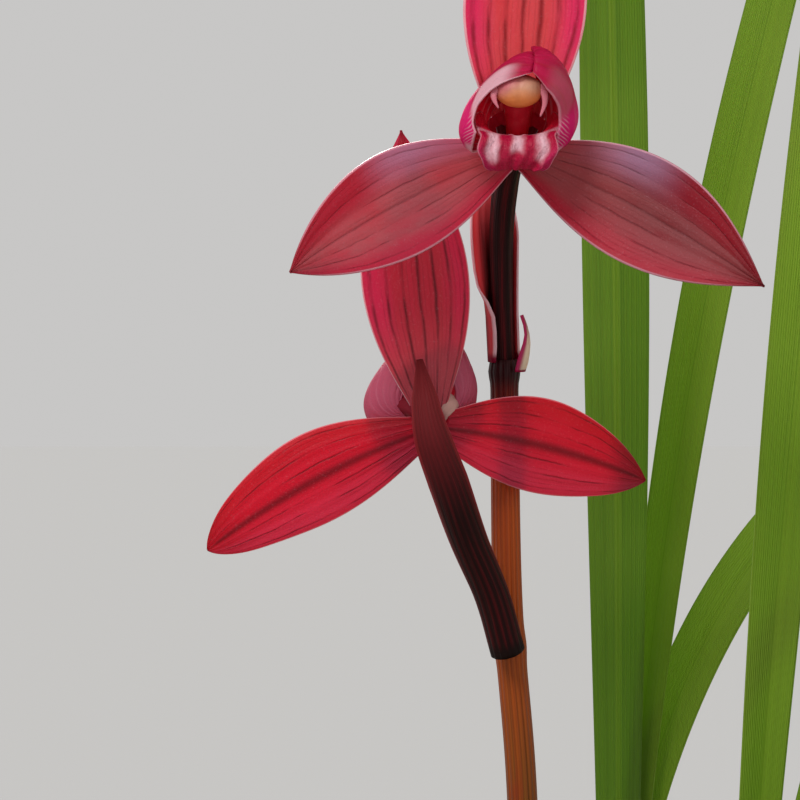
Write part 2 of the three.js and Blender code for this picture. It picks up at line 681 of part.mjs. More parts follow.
const FLOWERS = [
  {
    name: "upper",
    centre: vector(-16.5, -28, 325.8),
    facing: -88,
    sepals: {
      dorsal_sepal: { spin: 86.8, sweep: [1, 8], length: 37.5, width: 8.1, foot: 2.7, roll: 0.45, bow: 0 },
      left_sepal: { spin: 208.6, sweep: [18, 20], length: 37.2, width: 6.9, foot: 2.4, roll: 0.35, bow: -1 },
      right_sepal: { spin: 329.9, sweep: [15, 12], length: 37.4, width: 7.2, foot: 2.4, roll: 0.35, bow: 1 },
    },
    stalk: [
      vector(-17.6, -14.3, 296.7),
      vector(-17.9, -15.6, 305),
      vector(-18.1, -18.2, 314.5),
      vector(-17.6, -22, 321.4),
      vector(-16.6, -27.1, 325.8),
    ],
    stalkRadii: [1.4, 1.4, 1.55, 1.7, 1.6],
    bract: {
      path: [
        vector(-17.6, -14.3, 297),
        vector(-18, -15.3, 306),
        vector(-18.3, -17.6, 315),
        vector(-18.6, -19, 322),
      ],
      facing: 100,
      wraps: [105, 105, 100, 60, 10],
      radii: [2.05, 2.1, 2.3, 2.8, 3.2],
    },
  },
  {
    name: "lower",
    centre: vector(-27.7, -25, 288.6),
    facing: 103,
    sepals: {
      dorsal_sepal: { spin: 95.5, sweep: [-2, 10], length: 38.2, width: 7.4, foot: 2.3, roll: 0.45, bow: 0 },
      left_sepal: { spin: 209, sweep: [12, 10], length: 33.2, width: 6, foot: 2.4, roll: 0.35, bow: -1 },
      right_sepal: { spin: 345.9, sweep: [12, 10], length: 33.2, width: 6.3, foot: 2.4, roll: 0.35, bow: 1 },
    },
    stalk: [
      vector(-17.2, -17.4, 257.4),
      vector(-19.4, -20.6, 265),
      vector(-22.7, -24.4, 273),
      vector(-25.3, -28, 280.5),
      vector(-26.8, -29, 285.5),
      vector(-27.5, -25.9, 288.6),
    ],
    stalkRadii: [1.35, 1.35, 1.4, 1.55, 1.7, 1.6],
    bract: {
      path: [
        vector(-17.2, -17.4, 257.2),
        vector(-19.4, -20.6, 265),
        vector(-22.7, -24.4, 273),
        vector(-25.3, -28, 280.5),
        vector(-27.4, -29.2, 288),
        vector(-28.6, -25.8, 297),
      ],
      facing: -90,
      wraps: [120, 120, 112, 96, 56, 14],
      radii: [2.2, 2.2, 2.25, 2.45, 2.4, 1.3],
    },
  },
];

function flowerParts(flower) {
  const place = flowerFrame(flower.centre, flower.facing);
  const end = place(0, 0, STALK_END);
  const back = new THREE.Plane().setFromNormalAndCoplanarPoint(heading(flower.facing), end);
  const named = (part, solid, finish) => meshOf(flower.name + "_" + part, solid, finish);
  const sepals = Object.entries(flower.sepals).map(([part, sepal]) =>
    named(part, blade(sepalSurface(place, sepal), SEPAL_THICKNESS, 10, 6), SEPAL_RED),
  );
  const petals = Object.entries(PETALS).map(([part, petal]) =>
    named(part, blade(petalSurface(place, petal), SEPAL_THICKNESS, 9, 7), PETAL_PINK),
  );
  return [
    ...sepals,
    ...petals,
    named("lip", blade(lipSurface(place), SEPAL_THICKNESS, 14, 10), LIP_CRIMSON),
    named("column", column(place), COLUMN_RED),
    named("anther_cap", antherCap(place), CAP_CREAM),
    named("pedicel", stalk(flower.stalk, flower.stalkRadii, 10, 12, back), STALK_MAROON),
    named("bract", bract(flower.bract, 10, 6), STALK_MAROON),
  ];
}

// The small pointed scale at the stem's end
const SCAPE_TIP = {
  path: [vector(-17.6, -14.2, 295.6), vector(-17.6, -14.3, 299.5), vector(-17.6, -14.6, 303.4)],
  facing: -20,
  wraps: [34, 25, 6],
  radii: [2.9, 3.1, 2.7],
};

const orchid = new THREE.Group();
const belowGround = bulbsAndRoots(0);
orchid.add(meshOf("pot", pot(), CLAY));
orchid.add(meshOf("potting_mix", pottingMix([bulbsAndRoots(CLEARANCE), scape(CLEARANCE)]), BARK));
orchid.add(meshOf("pseudobulbs_and_roots", belowGround, BULB_GREEN));
orchid.add(meshOf("scape", scape(0), SCAPE_BROWN));
SHEATH_FOOTS.forEach((_, n) => orchid.add(meshOf("scape_sheath_" + (n + 1), sheath(n), SHEATH_PINK)));
orchid.add(meshOf("scape_tip", bract(SCAPE_TIP, 5, 4), TIP_CREAM));
FLOWERS.forEach((flower) => orchid.add(...flowerParts(flower)));
SHOOTS.forEach((shoot) =>
  shoot.leaves.forEach((leaf, k) =>
    orchid.add(meshOf(shoot.name + "_leaf_" + (k + 1), strapLeaf(shoot, leaf), LEAF_GREEN)),
  ),
);

export default orchid;
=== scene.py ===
"""Looks of the potted cymbidium orchid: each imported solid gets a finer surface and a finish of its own.

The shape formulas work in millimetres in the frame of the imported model, and the meshes are in metres. The
upper flower faces -Y, so left and right are as seen from there.
"""
import logging
import math
from collections.abc import Callable, Sequence
from dataclasses import dataclass, replace
from enum import Enum
from functools import partial

import bpy
import numpy as np
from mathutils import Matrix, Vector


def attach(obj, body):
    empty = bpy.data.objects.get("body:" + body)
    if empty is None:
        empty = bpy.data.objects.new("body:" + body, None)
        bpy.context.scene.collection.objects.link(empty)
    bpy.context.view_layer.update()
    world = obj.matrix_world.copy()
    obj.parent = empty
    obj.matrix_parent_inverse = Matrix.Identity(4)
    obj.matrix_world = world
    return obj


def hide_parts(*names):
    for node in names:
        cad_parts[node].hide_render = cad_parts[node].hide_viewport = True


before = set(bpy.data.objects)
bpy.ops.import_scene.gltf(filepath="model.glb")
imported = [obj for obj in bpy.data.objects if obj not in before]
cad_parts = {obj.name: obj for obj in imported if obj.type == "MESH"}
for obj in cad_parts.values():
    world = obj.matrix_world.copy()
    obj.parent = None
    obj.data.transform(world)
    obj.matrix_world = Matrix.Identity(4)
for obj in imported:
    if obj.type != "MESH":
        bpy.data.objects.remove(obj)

LOG = logging.getLogger("orchid")
MM = 0.001
UV_NAME = "Surface"
SIDE_MASK = "face_side"
PIECE_MASK = "piece_draw"
TINT_MASK = "tint"
UP = np.array([0.0, 0.0, 1.0])

Array = np.ndarray
Number = float | Array
Point = Sequence[float]
Surface = Callable[[Array, Array], Array]
Colour = tuple[float, float, float, float]
Socket = bpy.types.NodeSocket
Value = float | tuple | Socket
Material = bpy.types.Material


# Small formulas on arrays


def unit(vectors: Array) -> Array:
    """Returns the vectors at length one."""
    return vectors / np.linalg.norm(vectors, axis=-1, keepdims=True)


def lerp(first: Number, last: Number, share: Number) -> Number:
    """Returns the value at a share of the way from first to last."""
    return first + (last - first) * share


def smooth(value: Number, low: float, high: float) -> Number:
    """Returns the S-shaped step from 0 at low to 1 at high: three squares less two cubes of the share."""
    share = np.clip((value - low) / (high - low), 0, 1)
    return share * share * (3 - 2 * share)


def arch(share: Number) -> Number:
    """Returns a parabola over the share: 0 at both ends and 1 in the middle."""
    return 4 * share * (1 - share)


def bell(value: Number, middle: float, width: float) -> Number:
    """Returns a bell: 1 at the middle, falling with the square of the distance over the width."""
    return np.exp(-(((value - middle) / width) ** 2))


def turns(count: int) -> Array:
    """Returns evenly spaced angles round a full turn in radians."""
    return np.arange(count) * 2 * np.pi / count


def heading(degrees: Number) -> Array:
    """Returns the level unit vector at an azimuth in degrees."""
    turn = np.radians(degrees)
    return np.stack([np.cos(turn), np.sin(turn), np.zeros_like(turn)], -1)


def read_list(values: tuple[float, ...], share: Number) -> Number:
    """Returns the values of an evenly spaced list at a share of its length."""
    return np.interp(share, np.linspace(0, 1, len(values)), values)


def draw(number: Number) -> Number:
    """Returns a draw between 0 and 1 that is the same each run: the fraction of a large sine wave."""
    wave = np.sin(np.asarray(number, float) * 12.9898) * 43758.5453
    return wave - np.floor(wave)


def across_to(direction: Array, tangent: Array) -> Array:
    """Returns a direction made square to the tangent, at length one."""
    return unit(direction - np.sum(direction * tangent, -1, keepdims=True) * tangent)


def running_length(points: Array) -> Array:
    """Returns how far each point lies from the first one along the line through them."""
    return np.concatenate([[0], np.cumsum(np.linalg.norm(np.diff(points, axis=0), axis=1))])


def rolled(half: Array, roll: Number, v: Array) -> tuple[Array, Array]:
    """Rolls a straight cross line up into a piece of a circle that keeps its length.

    Args:
        half: Half the length of the line.
        roll: How far its ends are turned up, in radians.
        v: The place along it from -1 to 1.

    Returns:
        How far each point lies to the side and how far it is lifted: the radius, which is half over roll,
        times the sine of the turn, and times 1 less its cosine.
    """
    return half / roll * np.sin(roll * v), half / roll * (1 - np.cos(roll * v))


def thinning(middle: float, less: float) -> Surface:
    """Returns a thickness over u and v: that of the middle, less a part that grows with v to the fourth power."""
    return lambda u, v: middle - less * np.abs(v) ** 4


def tapering(middle: float) -> Surface:
    """Returns a thickness over u and v that falls towards both sides, slowly towards the tip and fast at it."""
    return lambda u, v: middle * (1 - 0.6 * np.abs(v) ** 6) * (1 - 0.35 * u**4 - 0.35 * u**24)


def ribbing(height: float, count: int) -> Surface:
    """Returns a relief over u and v: a cosine wave across the blade, with half the count of crests a side."""
    return lambda u, v: height * np.cos(np.pi * count * v)


@dataclass(frozen=True)
class Path:
    """A smooth curve through points, read by the share of its length.

    Each stretch is a centripetal cubic: its end slopes come from the neighbouring points, weighted by the
    square roots of the distances between them.
    """

    points: Sequence[Point]
    stretch_stops: int = 161
    near: float = 0.004

    def table(self) -> tuple[Array, Array]:
        """Works out the curve once, closely enough to read it straight between its stops.

        Returns:
            Points close together along the curve, and each one's share of the length.
        """
        inner = np.array(self.points, float)
        p = np.vstack([2 * inner[0] - inner[1], inner, 2 * inner[-1] - inner[-2]])
        root = np.linalg.norm(np.diff(p, axis=0), axis=1)[:, None] ** 0.5
        a, b, c, d = p[:-3], p[1:-2], p[2:-1], p[3:]
        r0, r1, r2 = root[:-2], root[1:-1], root[2:]
        leave = ((b - a) / r0 - (c - a) / (r0 + r1) + (c - b) / r1) * r1
        reach = ((c - b) / r1 - (d - b) / (r1 + r2) + (d - c) / r2) * r1
        s = np.linspace(0, 1, self.stretch_stops)[None, :, None]
        b, c, leave, reach = (x[:, None, :] for x in (b, c, leave, reach))
        square = (3 * (c - b) - 2 * leave - reach) * s**2
        cube = (2 * (b - c) + leave + reach) * s**3
        dense = (b + leave * s + square + cube).reshape(-1, 3)
        run = running_length(dense)
        return dense, run / run[-1]

    def at(self, share: Number) -> Array:
        """Returns the curve's points at shares of its length."""
        dense, run = self.table()
        return np.stack([np.interp(share, run, dense[:, k]) for k in range(3)], -1)

    def along(self, share: Number) -> Array:
        """Returns the curve's unit directions at shares of its length, from the points just before and after."""
        return unit(self.at(np.minimum(share + self.near, 1)) - self.at(np.maximum(share - self.near, 0)))


# Meshes from grids


def quads(numbers: Array) -> Array:
    """Returns the four-sided faces between the neighbours of a grid of vertex numbers, one a row."""
    return np.stack([numbers[:-1, :-1], numbers[1:, :-1], numbers[1:, 1:], numbers[:-1, 1:]], -1).reshape(-1, 4)


def corner_uv(*corners: tuple[Number, Number]) -> Array:
    """Returns the UV of many faces from the places along and across of each corner in turn."""
    return np.stack([np.stack(np.broadcast_arrays(*corner), -1) for corner in corners], 1)


def add_object(name: str, data: bpy.types.ID) -> bpy.types.Object:
    """Puts a mesh, lamp or camera in the scene.

    Args:
        name: The object's name.
        data: What the object holds.

    Returns:
        The object, at the origin, unturned and unscaled.
    """
    holder = bpy.data.objects.new(name, data)
    bpy.context.scene.collection.objects.link(holder)
    return holder


class Skin:
    """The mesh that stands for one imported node, gathered from closed shells, with its UV map and its masks."""

    def __init__(self, node: str) -> None:
        """Starts an empty piece.

        Args:
            node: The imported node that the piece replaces.
        """
        self.node = node
        self.points: list[Array] = []
        self.faces: list[Array] = []
        self.uvs: list[Array] = []
        self.masks: dict[str, list[Array]] = {SIDE_MASK: [], PIECE_MASK: [], TINT_MASK: []}
        self.count = 0

    def shell(
        self, points: Array, parts: Sequence[tuple[Array, Array]], side: Number = 1.0, draws: Number = 0.0,
        tint: Number = 0.0,
    ) -> None:
        """Adds a closed shell and turns its faces outwards, by the sign of its volume.

        Args:
            points: The vertices in millimetres, one a row.
            parts: Faces as rows of vertex numbers, each with its corners' UV.
            side: The side mask, one number or one a vertex.
            draws: The piece mask, one number or one a vertex.
            tint: The tint mask, one number or one a vertex.
        """
        fans = [f[:, [0, k, k + 1]] for f, _ in parts for k in range(1, f.shape[1] - 1)]
        a, b, c = (points[np.concatenate(fans)[:, k]] for k in range(3))
        order = slice(None, None, -1 if np.sum(a * np.cross(b, c)) < 0 else None)
        for faces, uv in parts:
            self.faces.append(faces[:, order] + self.count)
            self.uvs.append(uv[:, order])
        self.points.append(points)
        for mask, values in ((SIDE_MASK, side), (PIECE_MASK, draws), (TINT_MASK, tint)):
            self.masks[mask].append(np.broadcast_to(values, len(points)))
        self.count += len(points)

    def blade(
        self, surface: Surface, thickness: Surface, relief: Surface | None = None, steps: tuple[int, int] = (96, 48),
        draws: float = 0.0,
    ) -> None:
        """Adds a closed blade: the surface moved half the thickness each way along its normal, and a rim.

        Args:
            surface: Points for u from 0 to 1 along the blade and v from -1 to 1 across it.
            thickness: Thickness in millimetres at u and v.
            relief: Height in millimetres that both faces move along the normal, or none.
            steps: Steps along and across.
            draws: The piece mask.
        """
        rows, columns = steps[0] + 1, steps[1] + 1
        u, v = np.meshgrid(np.linspace(0, 1, rows), np.linspace(-1, 1, columns), indexing="ij")
        near = 1e-3
        along = surface(np.minimum(u + near, 1), v) - surface(np.maximum(u - near, 0), v)
        across = surface(u, np.minimum(v + near, 1)) - surface(u, np.maximum(v - near, -1))
        normal = unit(np.cross(along, across))
        middle = surface(u, v)
        if relief is not None:
            middle = middle + normal * relief(u, v)[..., None]
        half = normal * thickness(u, v)[..., None] / 2
        points = np.concatenate([(middle + half).reshape(-1, 3), (middle - half).reshape(-1, 3)])
        uv = np.tile(np.stack([u, (v + 1) / 2], -1).reshape(-1, 2), (2, 1))
        number = np.arange(rows * columns).reshape(rows, columns)
        front = quads(number)
        back = front[:, ::-1] + rows * columns
        edge = np.concatenate([number[:-1, 0], number[-1, :-1], number[:0:-1, -1], number[0, :0:-1]])
        ahead = np.roll(edge, -1)
        rim = np.stack([ahead, edge, edge + rows * columns, ahead + rows * columns], -1)
        side = np.repeat([1.0, 0.0], rows * columns)
        self.shell(points, [(faces, uv[faces]) for faces in (front, back, rim)], side, draws)

    def tube(self, rings: Array, first: Point, last: Point, draws: Number = 0.0, tint: Number = 0.0) -> None:
        """Adds a closed tube from rings of points and the two poles that close its ends.

        Args:
            rings: Points by ring and by place round the ring.
            first: The pole before the first ring.
            last: The pole after the last ring.
            draws: The piece mask.
            tint: The tint mask.
        """
        rows, columns = rings.shape[:2]
        i, j = (x.ravel() for x in np.meshgrid(np.arange(rows - 1), np.arange(columns), indexing="ij"))
        ahead = (j + 1) % columns
        walls = np.stack([i * columns + j, (i + 1) * columns + j, (i + 1) * columns + ahead, i * columns + ahead], -1)
        du, dv = 1 / (rows - 1), 1 / columns
        u, v = i / (rows - 1), j / columns
        k = np.arange(columns)
        after = (k + 1) % columns
        pole = rows * columns
        foot = np.stack([np.full(columns, pole), k, after], -1)
        top = np.stack([np.full(columns, pole + 1), pole - columns + after, pole - columns + k], -1)
        at = k / columns
        self.shell(
            np.concatenate([rings.reshape(-1, 3), [first], [last]]),
            [(walls, corner_uv((u, v), (u + du, v), (u + du, v + dv), (u, v + dv))),
             (foot, corner_uv((0.0, at + dv / 2), (0.0, at), (0.0, at + dv))),
             (top, corner_uv((1.0, at + dv / 2), (1.0, at + dv), (1.0, at)))],
            1.0, draws, tint)

    def stalk(
        self, path: Path, radius: Surface, steps: tuple[int, int] = (80, 24), reference: Point = (1, 0, 0),
        last: float = 1, draws: float = 0.0,
    ) -> None:
        """Adds a tube along a path. A point is the path's point plus the radius times the turned normal.

        Args:
            path: The middle line.
            radius: Radius in millimetres at the share along and the turn round it in radians.
            steps: Steps along and around.
            reference: The direction that the seam keeps to.
            last: The share of the path where the tube ends.
            draws: The piece mask.
        """
        share, turn = np.linspace(0, last, steps[0] + 1), turns(steps[1])
        middle, along = path.at(share), path.along(share)
        normal = across_to(np.broadcast_to(np.array(reference, float), along.shape), along)
        binormal = np.cross(along, normal)
        out = normal[:, None] * np.cos(turn)[None, :, None] + binormal[:, None] * np.sin(turn)[None, :, None]
        rings = middle[:, None] + radius(share[:, None], turn[None, :])[..., None] * out
        self.tube(rings, middle[0], middle[-1], draws)

    def place(self, body: Callable[[Array], Array]) -> None:
        """Moves every shell so far into the model's frame, and turns its faces where the move mirrors it.

        Args:
            body: Gives points of the piece's own frame in the model's frame.
        """
        self.points = [body(points) for points in self.points]
        corners = body(np.vstack([np.zeros(3), np.eye(3)]))
        if np.linalg.det(corners[1:] - corners[0]) < 0:
            self.faces = [faces[:, ::-1] for faces in self.faces]
            self.uvs = [uv[:, ::-1] for uv in self.uvs]

    def mesh(self, name: str) -> bpy.types.Mesh:
        """Makes the bare mesh.

        Args:
            name: The mesh's name.

        Returns:
            The mesh in metres, without UV map, masks and finish.
        """
        mesh = bpy.data.meshes.new(name)
        faces = [face for part in self.faces for face in part.tolist()]
        mesh.from_pydata(np.concatenate(self.points) * MM, [], faces)
        return mesh

    def make(self, slot: str, material: Material) -> bpy.types.Object:
        """Makes the piece, dresses it and lets it stand for its node.

        Args:
            slot: The record's material slot. Not used.
            material: The finish.

        Returns:
            The piece's object.
        """
        name = f"{self.node}_form"
        mesh = self.mesh(name)
        layer = mesh.uv_layers.new(name=UV_NAME)
        layer.data.foreach_set("uv", np.concatenate([part.reshape(-1) for part in self.uvs]).astype(np.float32))
        for mask_name, values in self.masks.items():
            mask = mesh.attributes.new(mask_name, "FLOAT", "POINT")
            mask.data.foreach_set("value", np.concatenate(values).astype(np.float32))
        mesh.polygons.foreach_set("use_smooth", np.ones(len(mesh.polygons), bool))
        mesh.materials.append(material)
        mesh.update()
        piece = add_object(name, mesh)
        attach(piece, "root")
        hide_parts(self.node)
        LOG.info("%s: %d faces", name, len(mesh.polygons))
        return piece


# Materials from nodes


def rgb(red: int, green: int, blue: int) -> Colour:
    """Gives a colour to the nodes.

    Args:
        red: Red from 0 to 255, as a picture says it.
        green: Green from 0 to 255.
        blue: Blue from 0 to 255.

    Returns:
        The linear colour: a power of 2.4, or a straight line where it is nearly black.
    """
    share = np.array([red, green, blue]) / 255
    linear = np.where(share <= 0.04045, share / 12.92, ((share + 0.055) / 1.055) ** 2.4)
    return (*(float(x) for x in linear), 1.0)


class NodeBench:
    """Builds one material's nodes from left to right."""

    def __init__(self, name: str) -> None:
        """Starts a material without nodes.

        Args:
            name: The material's name.
        """
        self.material = bpy.data.materials.new(name)
        self.material.use_nodes = True
        self.tree = self.material.node_tree
        self.tree.nodes.clear()

    def add(self, kind: str, values: dict, **settings: object) -> bpy.types.Node:
        """Adds a node.

        Args:
            kind: The node's type without its prefix.
            values: A number, colour or socket for each input, by name or place.
            **settings: The node's own settings.

        Returns:
            The node.
        """
        node = self.tree.nodes.new("ShaderNode" + kind)
        for key, value in settings.items():
            setattr(node, key, value)
        for key, value in values.items():
            if isinstance(value, Socket):
                self.tree.links.new(value, node.inputs[key])
            else:
                node.inputs[key].default_value = value
        return node

    # Numbers

    def maths(self, operation: str, *values: Value) -> Socket:
        """Returns the result of a Math node."""
        return self.add("Math", dict(enumerate(values)), operation=operation).outputs[0]

    def times(self, first: Value, *others: Value) -> Socket:
        """Multiplies values.

        Args:
            first: The first value.
            *others: What it is multiplied by, one after another.

        Returns:
            The product.
        """
        for other in others:
            first = self.maths("MULTIPLY", first, other)
        return first

    def plus(self, value: Value, factor: Value, rest: Value) -> Socket:
        """Returns the value times the factor, plus the rest."""
        return self.maths("MULTIPLY_ADD", value, factor, rest)

    def rest(self, value: Value) -> Socket:
        """Returns 1 less the value."""
        return self.maths("SUBTRACT", 1, value)

    def centred(self, value: Value) -> Socket:
        """Returns a share moved down by half, so that it runs to both sides of 0."""
        return self.maths("SUBTRACT", value, 0.5)

    def away(self, across: Value) -> Socket:
        """Returns the distance from the middle line: 0 on it, and 1 where across is 0 or 1."""
        return self.times(self.maths("ABSOLUTE", self.centred(across)), 2)

    def step(self, value: Value, low: float, high: float, first: float = 0, last: float = 1) -> Socket:
        """Adds an S-shaped step.

        Args:
            value: What is read.
            low: The value at which the step starts. It may be the greater of the two.
            high: The value at which the step ends.
            first: The result at low and before it.
            last: The result at high and past it.

        Returns:
            The result.
        """
        if low > high:
            low, high, first, last = high, low, last, first
        values = {0: value, 1: low, 2: high, 3: first, 4: last}
        return self.add("MapRange", values, interpolation_type="SMOOTHSTEP").outputs[0]

    # Colours

    def mix(self, share: Value, first: Value, last: Value) -> Socket:
        """Returns the colour at a share of the way from first to last."""
        return self.add("Mix", {0: share, 6: first, 7: last}, data_type="RGBA").outputs[2]

    def coats(self, base: Value, *coats: tuple[Value, Value]) -> Socket:
        """Lays colours over a base.

        Args:
            base: The colour at the bottom.
            *coats: How strongly each colour covers what is under it, and the colour, from the lowest up.

        Returns:
            The colour on top.
        """
        for share, colour in coats:
            base = self.mix(share, base, colour)
        return base

    # Places and patterns

    def surface(self) -> tuple[Socket, Socket]:
        """Returns the piece's own coordinates: along it and across or round it."""
        split = self.add("SeparateXYZ", {0: self.add("UVMap", {}, uv_map=UV_NAME).outputs[0]})
        return split.outputs[0], split.outputs[1]

    def mask(self, name: str) -> Socket:
        """Returns a mask of the mesh."""
        return self.add("Attribute", {}, attribute_name=name).outputs["Fac"]

    def place(self, scale: Point = (1, 1, 1)) -> Socket:
        """Returns the place in the model's frame in metres, stretched by the scale."""
        coordinates = self.add("TexCoord", {}).outputs["Object"]
        return self.add("Mapping", {0: coordinates, 3: scale}).outputs[0]

    def height(self) -> Socket:
        """Returns the height above the pot's underside in metres."""
        return self.add("SeparateXYZ", {0: self.add("TexCoord", {}).outputs["Object"]}).outputs[2]

    def grid(self, along: float, across: float) -> Socket:
        """Returns the piece's own coordinates, stretched along and across."""
        coordinates = self.add("UVMap", {}, uv_map=UV_NAME).outputs[0]
        return self.add("Mapping", {0: coordinates, 3: (along, across, 1)}).outputs[0]

    def noise(self, vector: Value, scale: float, detail: float = 3, rough: float = 0.5) -> Socket:
        """Returns a soft random pattern from 0 to 1."""
        values = {"Vector": vector, "Scale": scale, "Detail": detail, "Roughness": rough}
        return self.add("TexNoise", values).outputs[0]

    def grain(self) -> Socket:
        """Returns the fine grain of the flowers' cells, about a third of a millimetre wide."""
        return self.noise(self.place(), 3400, 2, 0.6)

    def lines(self, across: Value, count: float, width: float) -> Socket:
        """Returns 1 on the middle of each of the lines and 0 between them, where width is their share."""
        return self.step(self.away(self.maths("FRACT", self.times(across, count))), width, 0)

    # Shader

    def rough(self, pattern: Value, least: float, most: float) -> Socket:
        """Returns a roughness from least to most that follows a soft random pattern."""
        return self.step(pattern, 0.3, 0.8, least, most)

    def bump(self, height: Value, distance: float, strength: float = 1) -> Socket:
        """Returns the normal over a height pattern whose full height is the distance in metres."""
        return self.add("Bump", {"Height": height, "Distance": distance, "Strength": strength}).outputs[0]

    def finish(
        self, colour: Value, rough: Value, normal: Socket | None = None, shine: float = 0.5, glow: Value = 0.0,
        glow_colour: Value | None = None,
    ) -> Material:
        """Joins the shader to the output.

        Args:
            colour: The surface's colour.
            rough: The roughness.
            normal: The bumped normal, or none.
            shine: The level of the plain reflection.
            glow: Share of the light that comes through the blade from behind.
            glow_colour: Colour of that light, or the surface's colour.

        Returns:
            The material.
        """
        bumped = {} if normal is None else {"Normal": normal}
        shader = {"Base Color": colour, "Roughness": rough, "Specular IOR Level": shine}
        closed = self.add("BsdfPrincipled", shader | bumped).outputs[0]
        if isinstance(glow, Socket) or glow > 0:
            through = {"Color": colour if glow_colour is None else glow_colour}
            passed = self.add("BsdfTranslucent", through | bumped).outputs[0]
            closed = self.add("MixShader", {0: glow, 1: closed, 2: passed}).outputs[0]
        self.add("OutputMaterial", {0: closed})
        return self.material


@dataclass(frozen=True)
class ClayFinish:
    """Unglazed clay: warm and dull, with throwing lines and pale lime marks."""

    clay: Colour = rgb(176, 96, 62)
    deep: Colour = rgb(138, 66, 42)
    lime: Colour = rgb(206, 168, 140)

    def make(self) -> Material:
        """Lays clouds of clay, lime marks that grow fewer upwards, and dark grains.

        Returns:
            The material.
        """
        bench = NodeBench("unglazed_clay")
        cloud = bench.noise(bench.place(), 22, 5, 0.6)
        grain = bench.noise(bench.place(), 900, 3, 0.7)
        rings = bench.noise(bench.place((4, 4, 260)), 1, 2)
        lime = bench.step(bench.noise(bench.place((1, 1, 2.2)), 38, 6, 0.7), 0.56, 0.74)
        colour = bench.coats(
            self.deep,
            (bench.step(cloud, 0.35, 0.7), self.clay),
            (bench.times(lime, bench.step(bench.height(), 0.075, 0.0, 0.15, 0.6)), self.lime),
            (bench.step(grain, 0.45, 0.85, 0, 0.25), self.deep))
        height = bench.plus(rings, 0.8, bench.times(grain, 0.35))
        return bench.finish(colour, bench.rough(cloud, 0.78, 0.94), bench.bump(height, 0.0005, 0.7))


@dataclass(frozen=True)
class MixFinish:
    """Bark chips in several browns among pale pumice, rough and a little dusty."""

    dark: Colour = rgb(58, 36, 24)
    brown: Colour = rgb(112, 70, 44)
    tan: Colour = rgb(152, 110, 76)
    pumice: Colour = rgb(196, 184, 164)

    def make(self) -> Material:
        """Colours each chip by its draw, then lays dark fibres and tan dust.

        Returns:
            The material.
        """
        bench = NodeBench("bark_and_pumice")
        kind = bench.mask(PIECE_MASK)
        fibre = bench.noise(bench.place(), 420, 5, 0.65)
        cloud = bench.noise(bench.place(), 95, 4, 0.6)
        colour = bench.coats(
            self.dark,
            (bench.step(kind, 0.1, 0.55), self.brown),
            (bench.step(kind, 0.55, 0.84), self.tan),
            (bench.step(kind, 0.86, 0.88), self.pumice),
            (bench.step(fibre, 0.5, 0.8, 0, 0.55), self.dark),
            (bench.step(cloud, 0.5, 0.75, 0, 0.3), self.tan))
        normal = bench.bump(bench.maths("ADD", fibre, cloud), 0.0009, 0.9)
        return bench.finish(colour, bench.rough(fibre, 0.75, 0.98), normal)


@dataclass(frozen=True)
class BulbFinish:
    """Green pseudobulbs wrapped in dry fibrous sheaths, and whitish roots below."""

    green: Colour = rgb(118, 128, 60)
    fibre: Colour = rgb(156, 132, 92)
    brown: Colour = rgb(92, 66, 42)
    root: Colour = rgb(206, 196, 168)

    def make(self) -> Material:
        """Lays bulb, dry sheath or root by the piece mask, each with strands along it.

        Returns:
            The material.
        """
        bench = NodeBench("bulb_and_fibre")
        kind = bench.mask(PIECE_MASK)
        _, around = bench.surface()
        strand = bench.noise(bench.grid(2.5, 46), 1.6, 4, 0.6)
        cloud = bench.noise(bench.place(), 120, 4)
        bulb = bench.mix(bench.step(strand, 0.42, 0.68), self.green, self.fibre)
        dry = bench.coats(
            self.brown,
            (bench.step(strand, 0.35, 0.7), self.fibre),
            (bench.step(cloud, 0.45, 0.7, 0, 0.6), self.green))
        colour = bench.coats(bulb, (bench.step(kind, 0.2, 0.3), dry), (bench.step(kind, 0.7, 0.8), self.root))
        height = bench.plus(bench.lines(around, 34, 0.7), 0.4, strand)
        return bench.finish(colour, bench.rough(strand, 0.5, 0.8), bench.bump(height, 0.0004))


@dataclass(frozen=True)
class ScapeFinish:
    """Flower stem: orange brown and olive below, dark reddish brown above, with fine ribs and a painted shadow under
    the upper bract's foot.
    """

    low: Colour = rgb(126, 62, 8)
    olive: Colour = rgb(98, 60, 10)
    red: Colour = rgb(126, 40, 14)
    warm: Colour = rgb(188, 78, 26)
    dark: Colour = rgb(84, 20, 18)
    # The node colour is that of the painted shadow under the upper bract's foot.
    node: Colour = rgb(34, 6, 10)

    def make(self) -> Material:
        """Lays streaks and blotches, then the colours that change with the height, and last the painted shadow.

        Returns:
            The material.
        """
        bench = NodeBench("flower_stem")
        height = bench.height()
        _, around = bench.surface()
        streak = bench.noise(bench.grid(3, 14), 1.3, 4, 0.6)
        blotch = bench.noise(bench.place((1, 1, 0.25)), 210, 4, 0.6)
        ribs = bench.lines(around, 18, 0.9)
        level = bench.plus(bench.centred(streak), 0.03, height)
        colour = bench.coats(
            self.low,
            (bench.step(streak, 0.4, 0.66), self.olive),
            (bench.step(blotch, 0.5, 0.7, 0, 0.75), self.red),
            (bench.step(height, 0.225, 0.275, 0, 0.65), self.warm),
            (bench.step(level, 0.283, 0.292), self.dark),
            (bench.times(ribs, 0.22), self.dark),
            # Painted shadow: a dark band on the stem just under the upper bract's foot.
            (bench.step(height, 0.2925, 0.2952, 0, 0.9), self.node))
        normal = bench.bump(bench.maths("ADD", ribs, streak), 0.00018)
        return bench.finish(colour, bench.rough(streak, 0.4, 0.6), normal, 0.18)


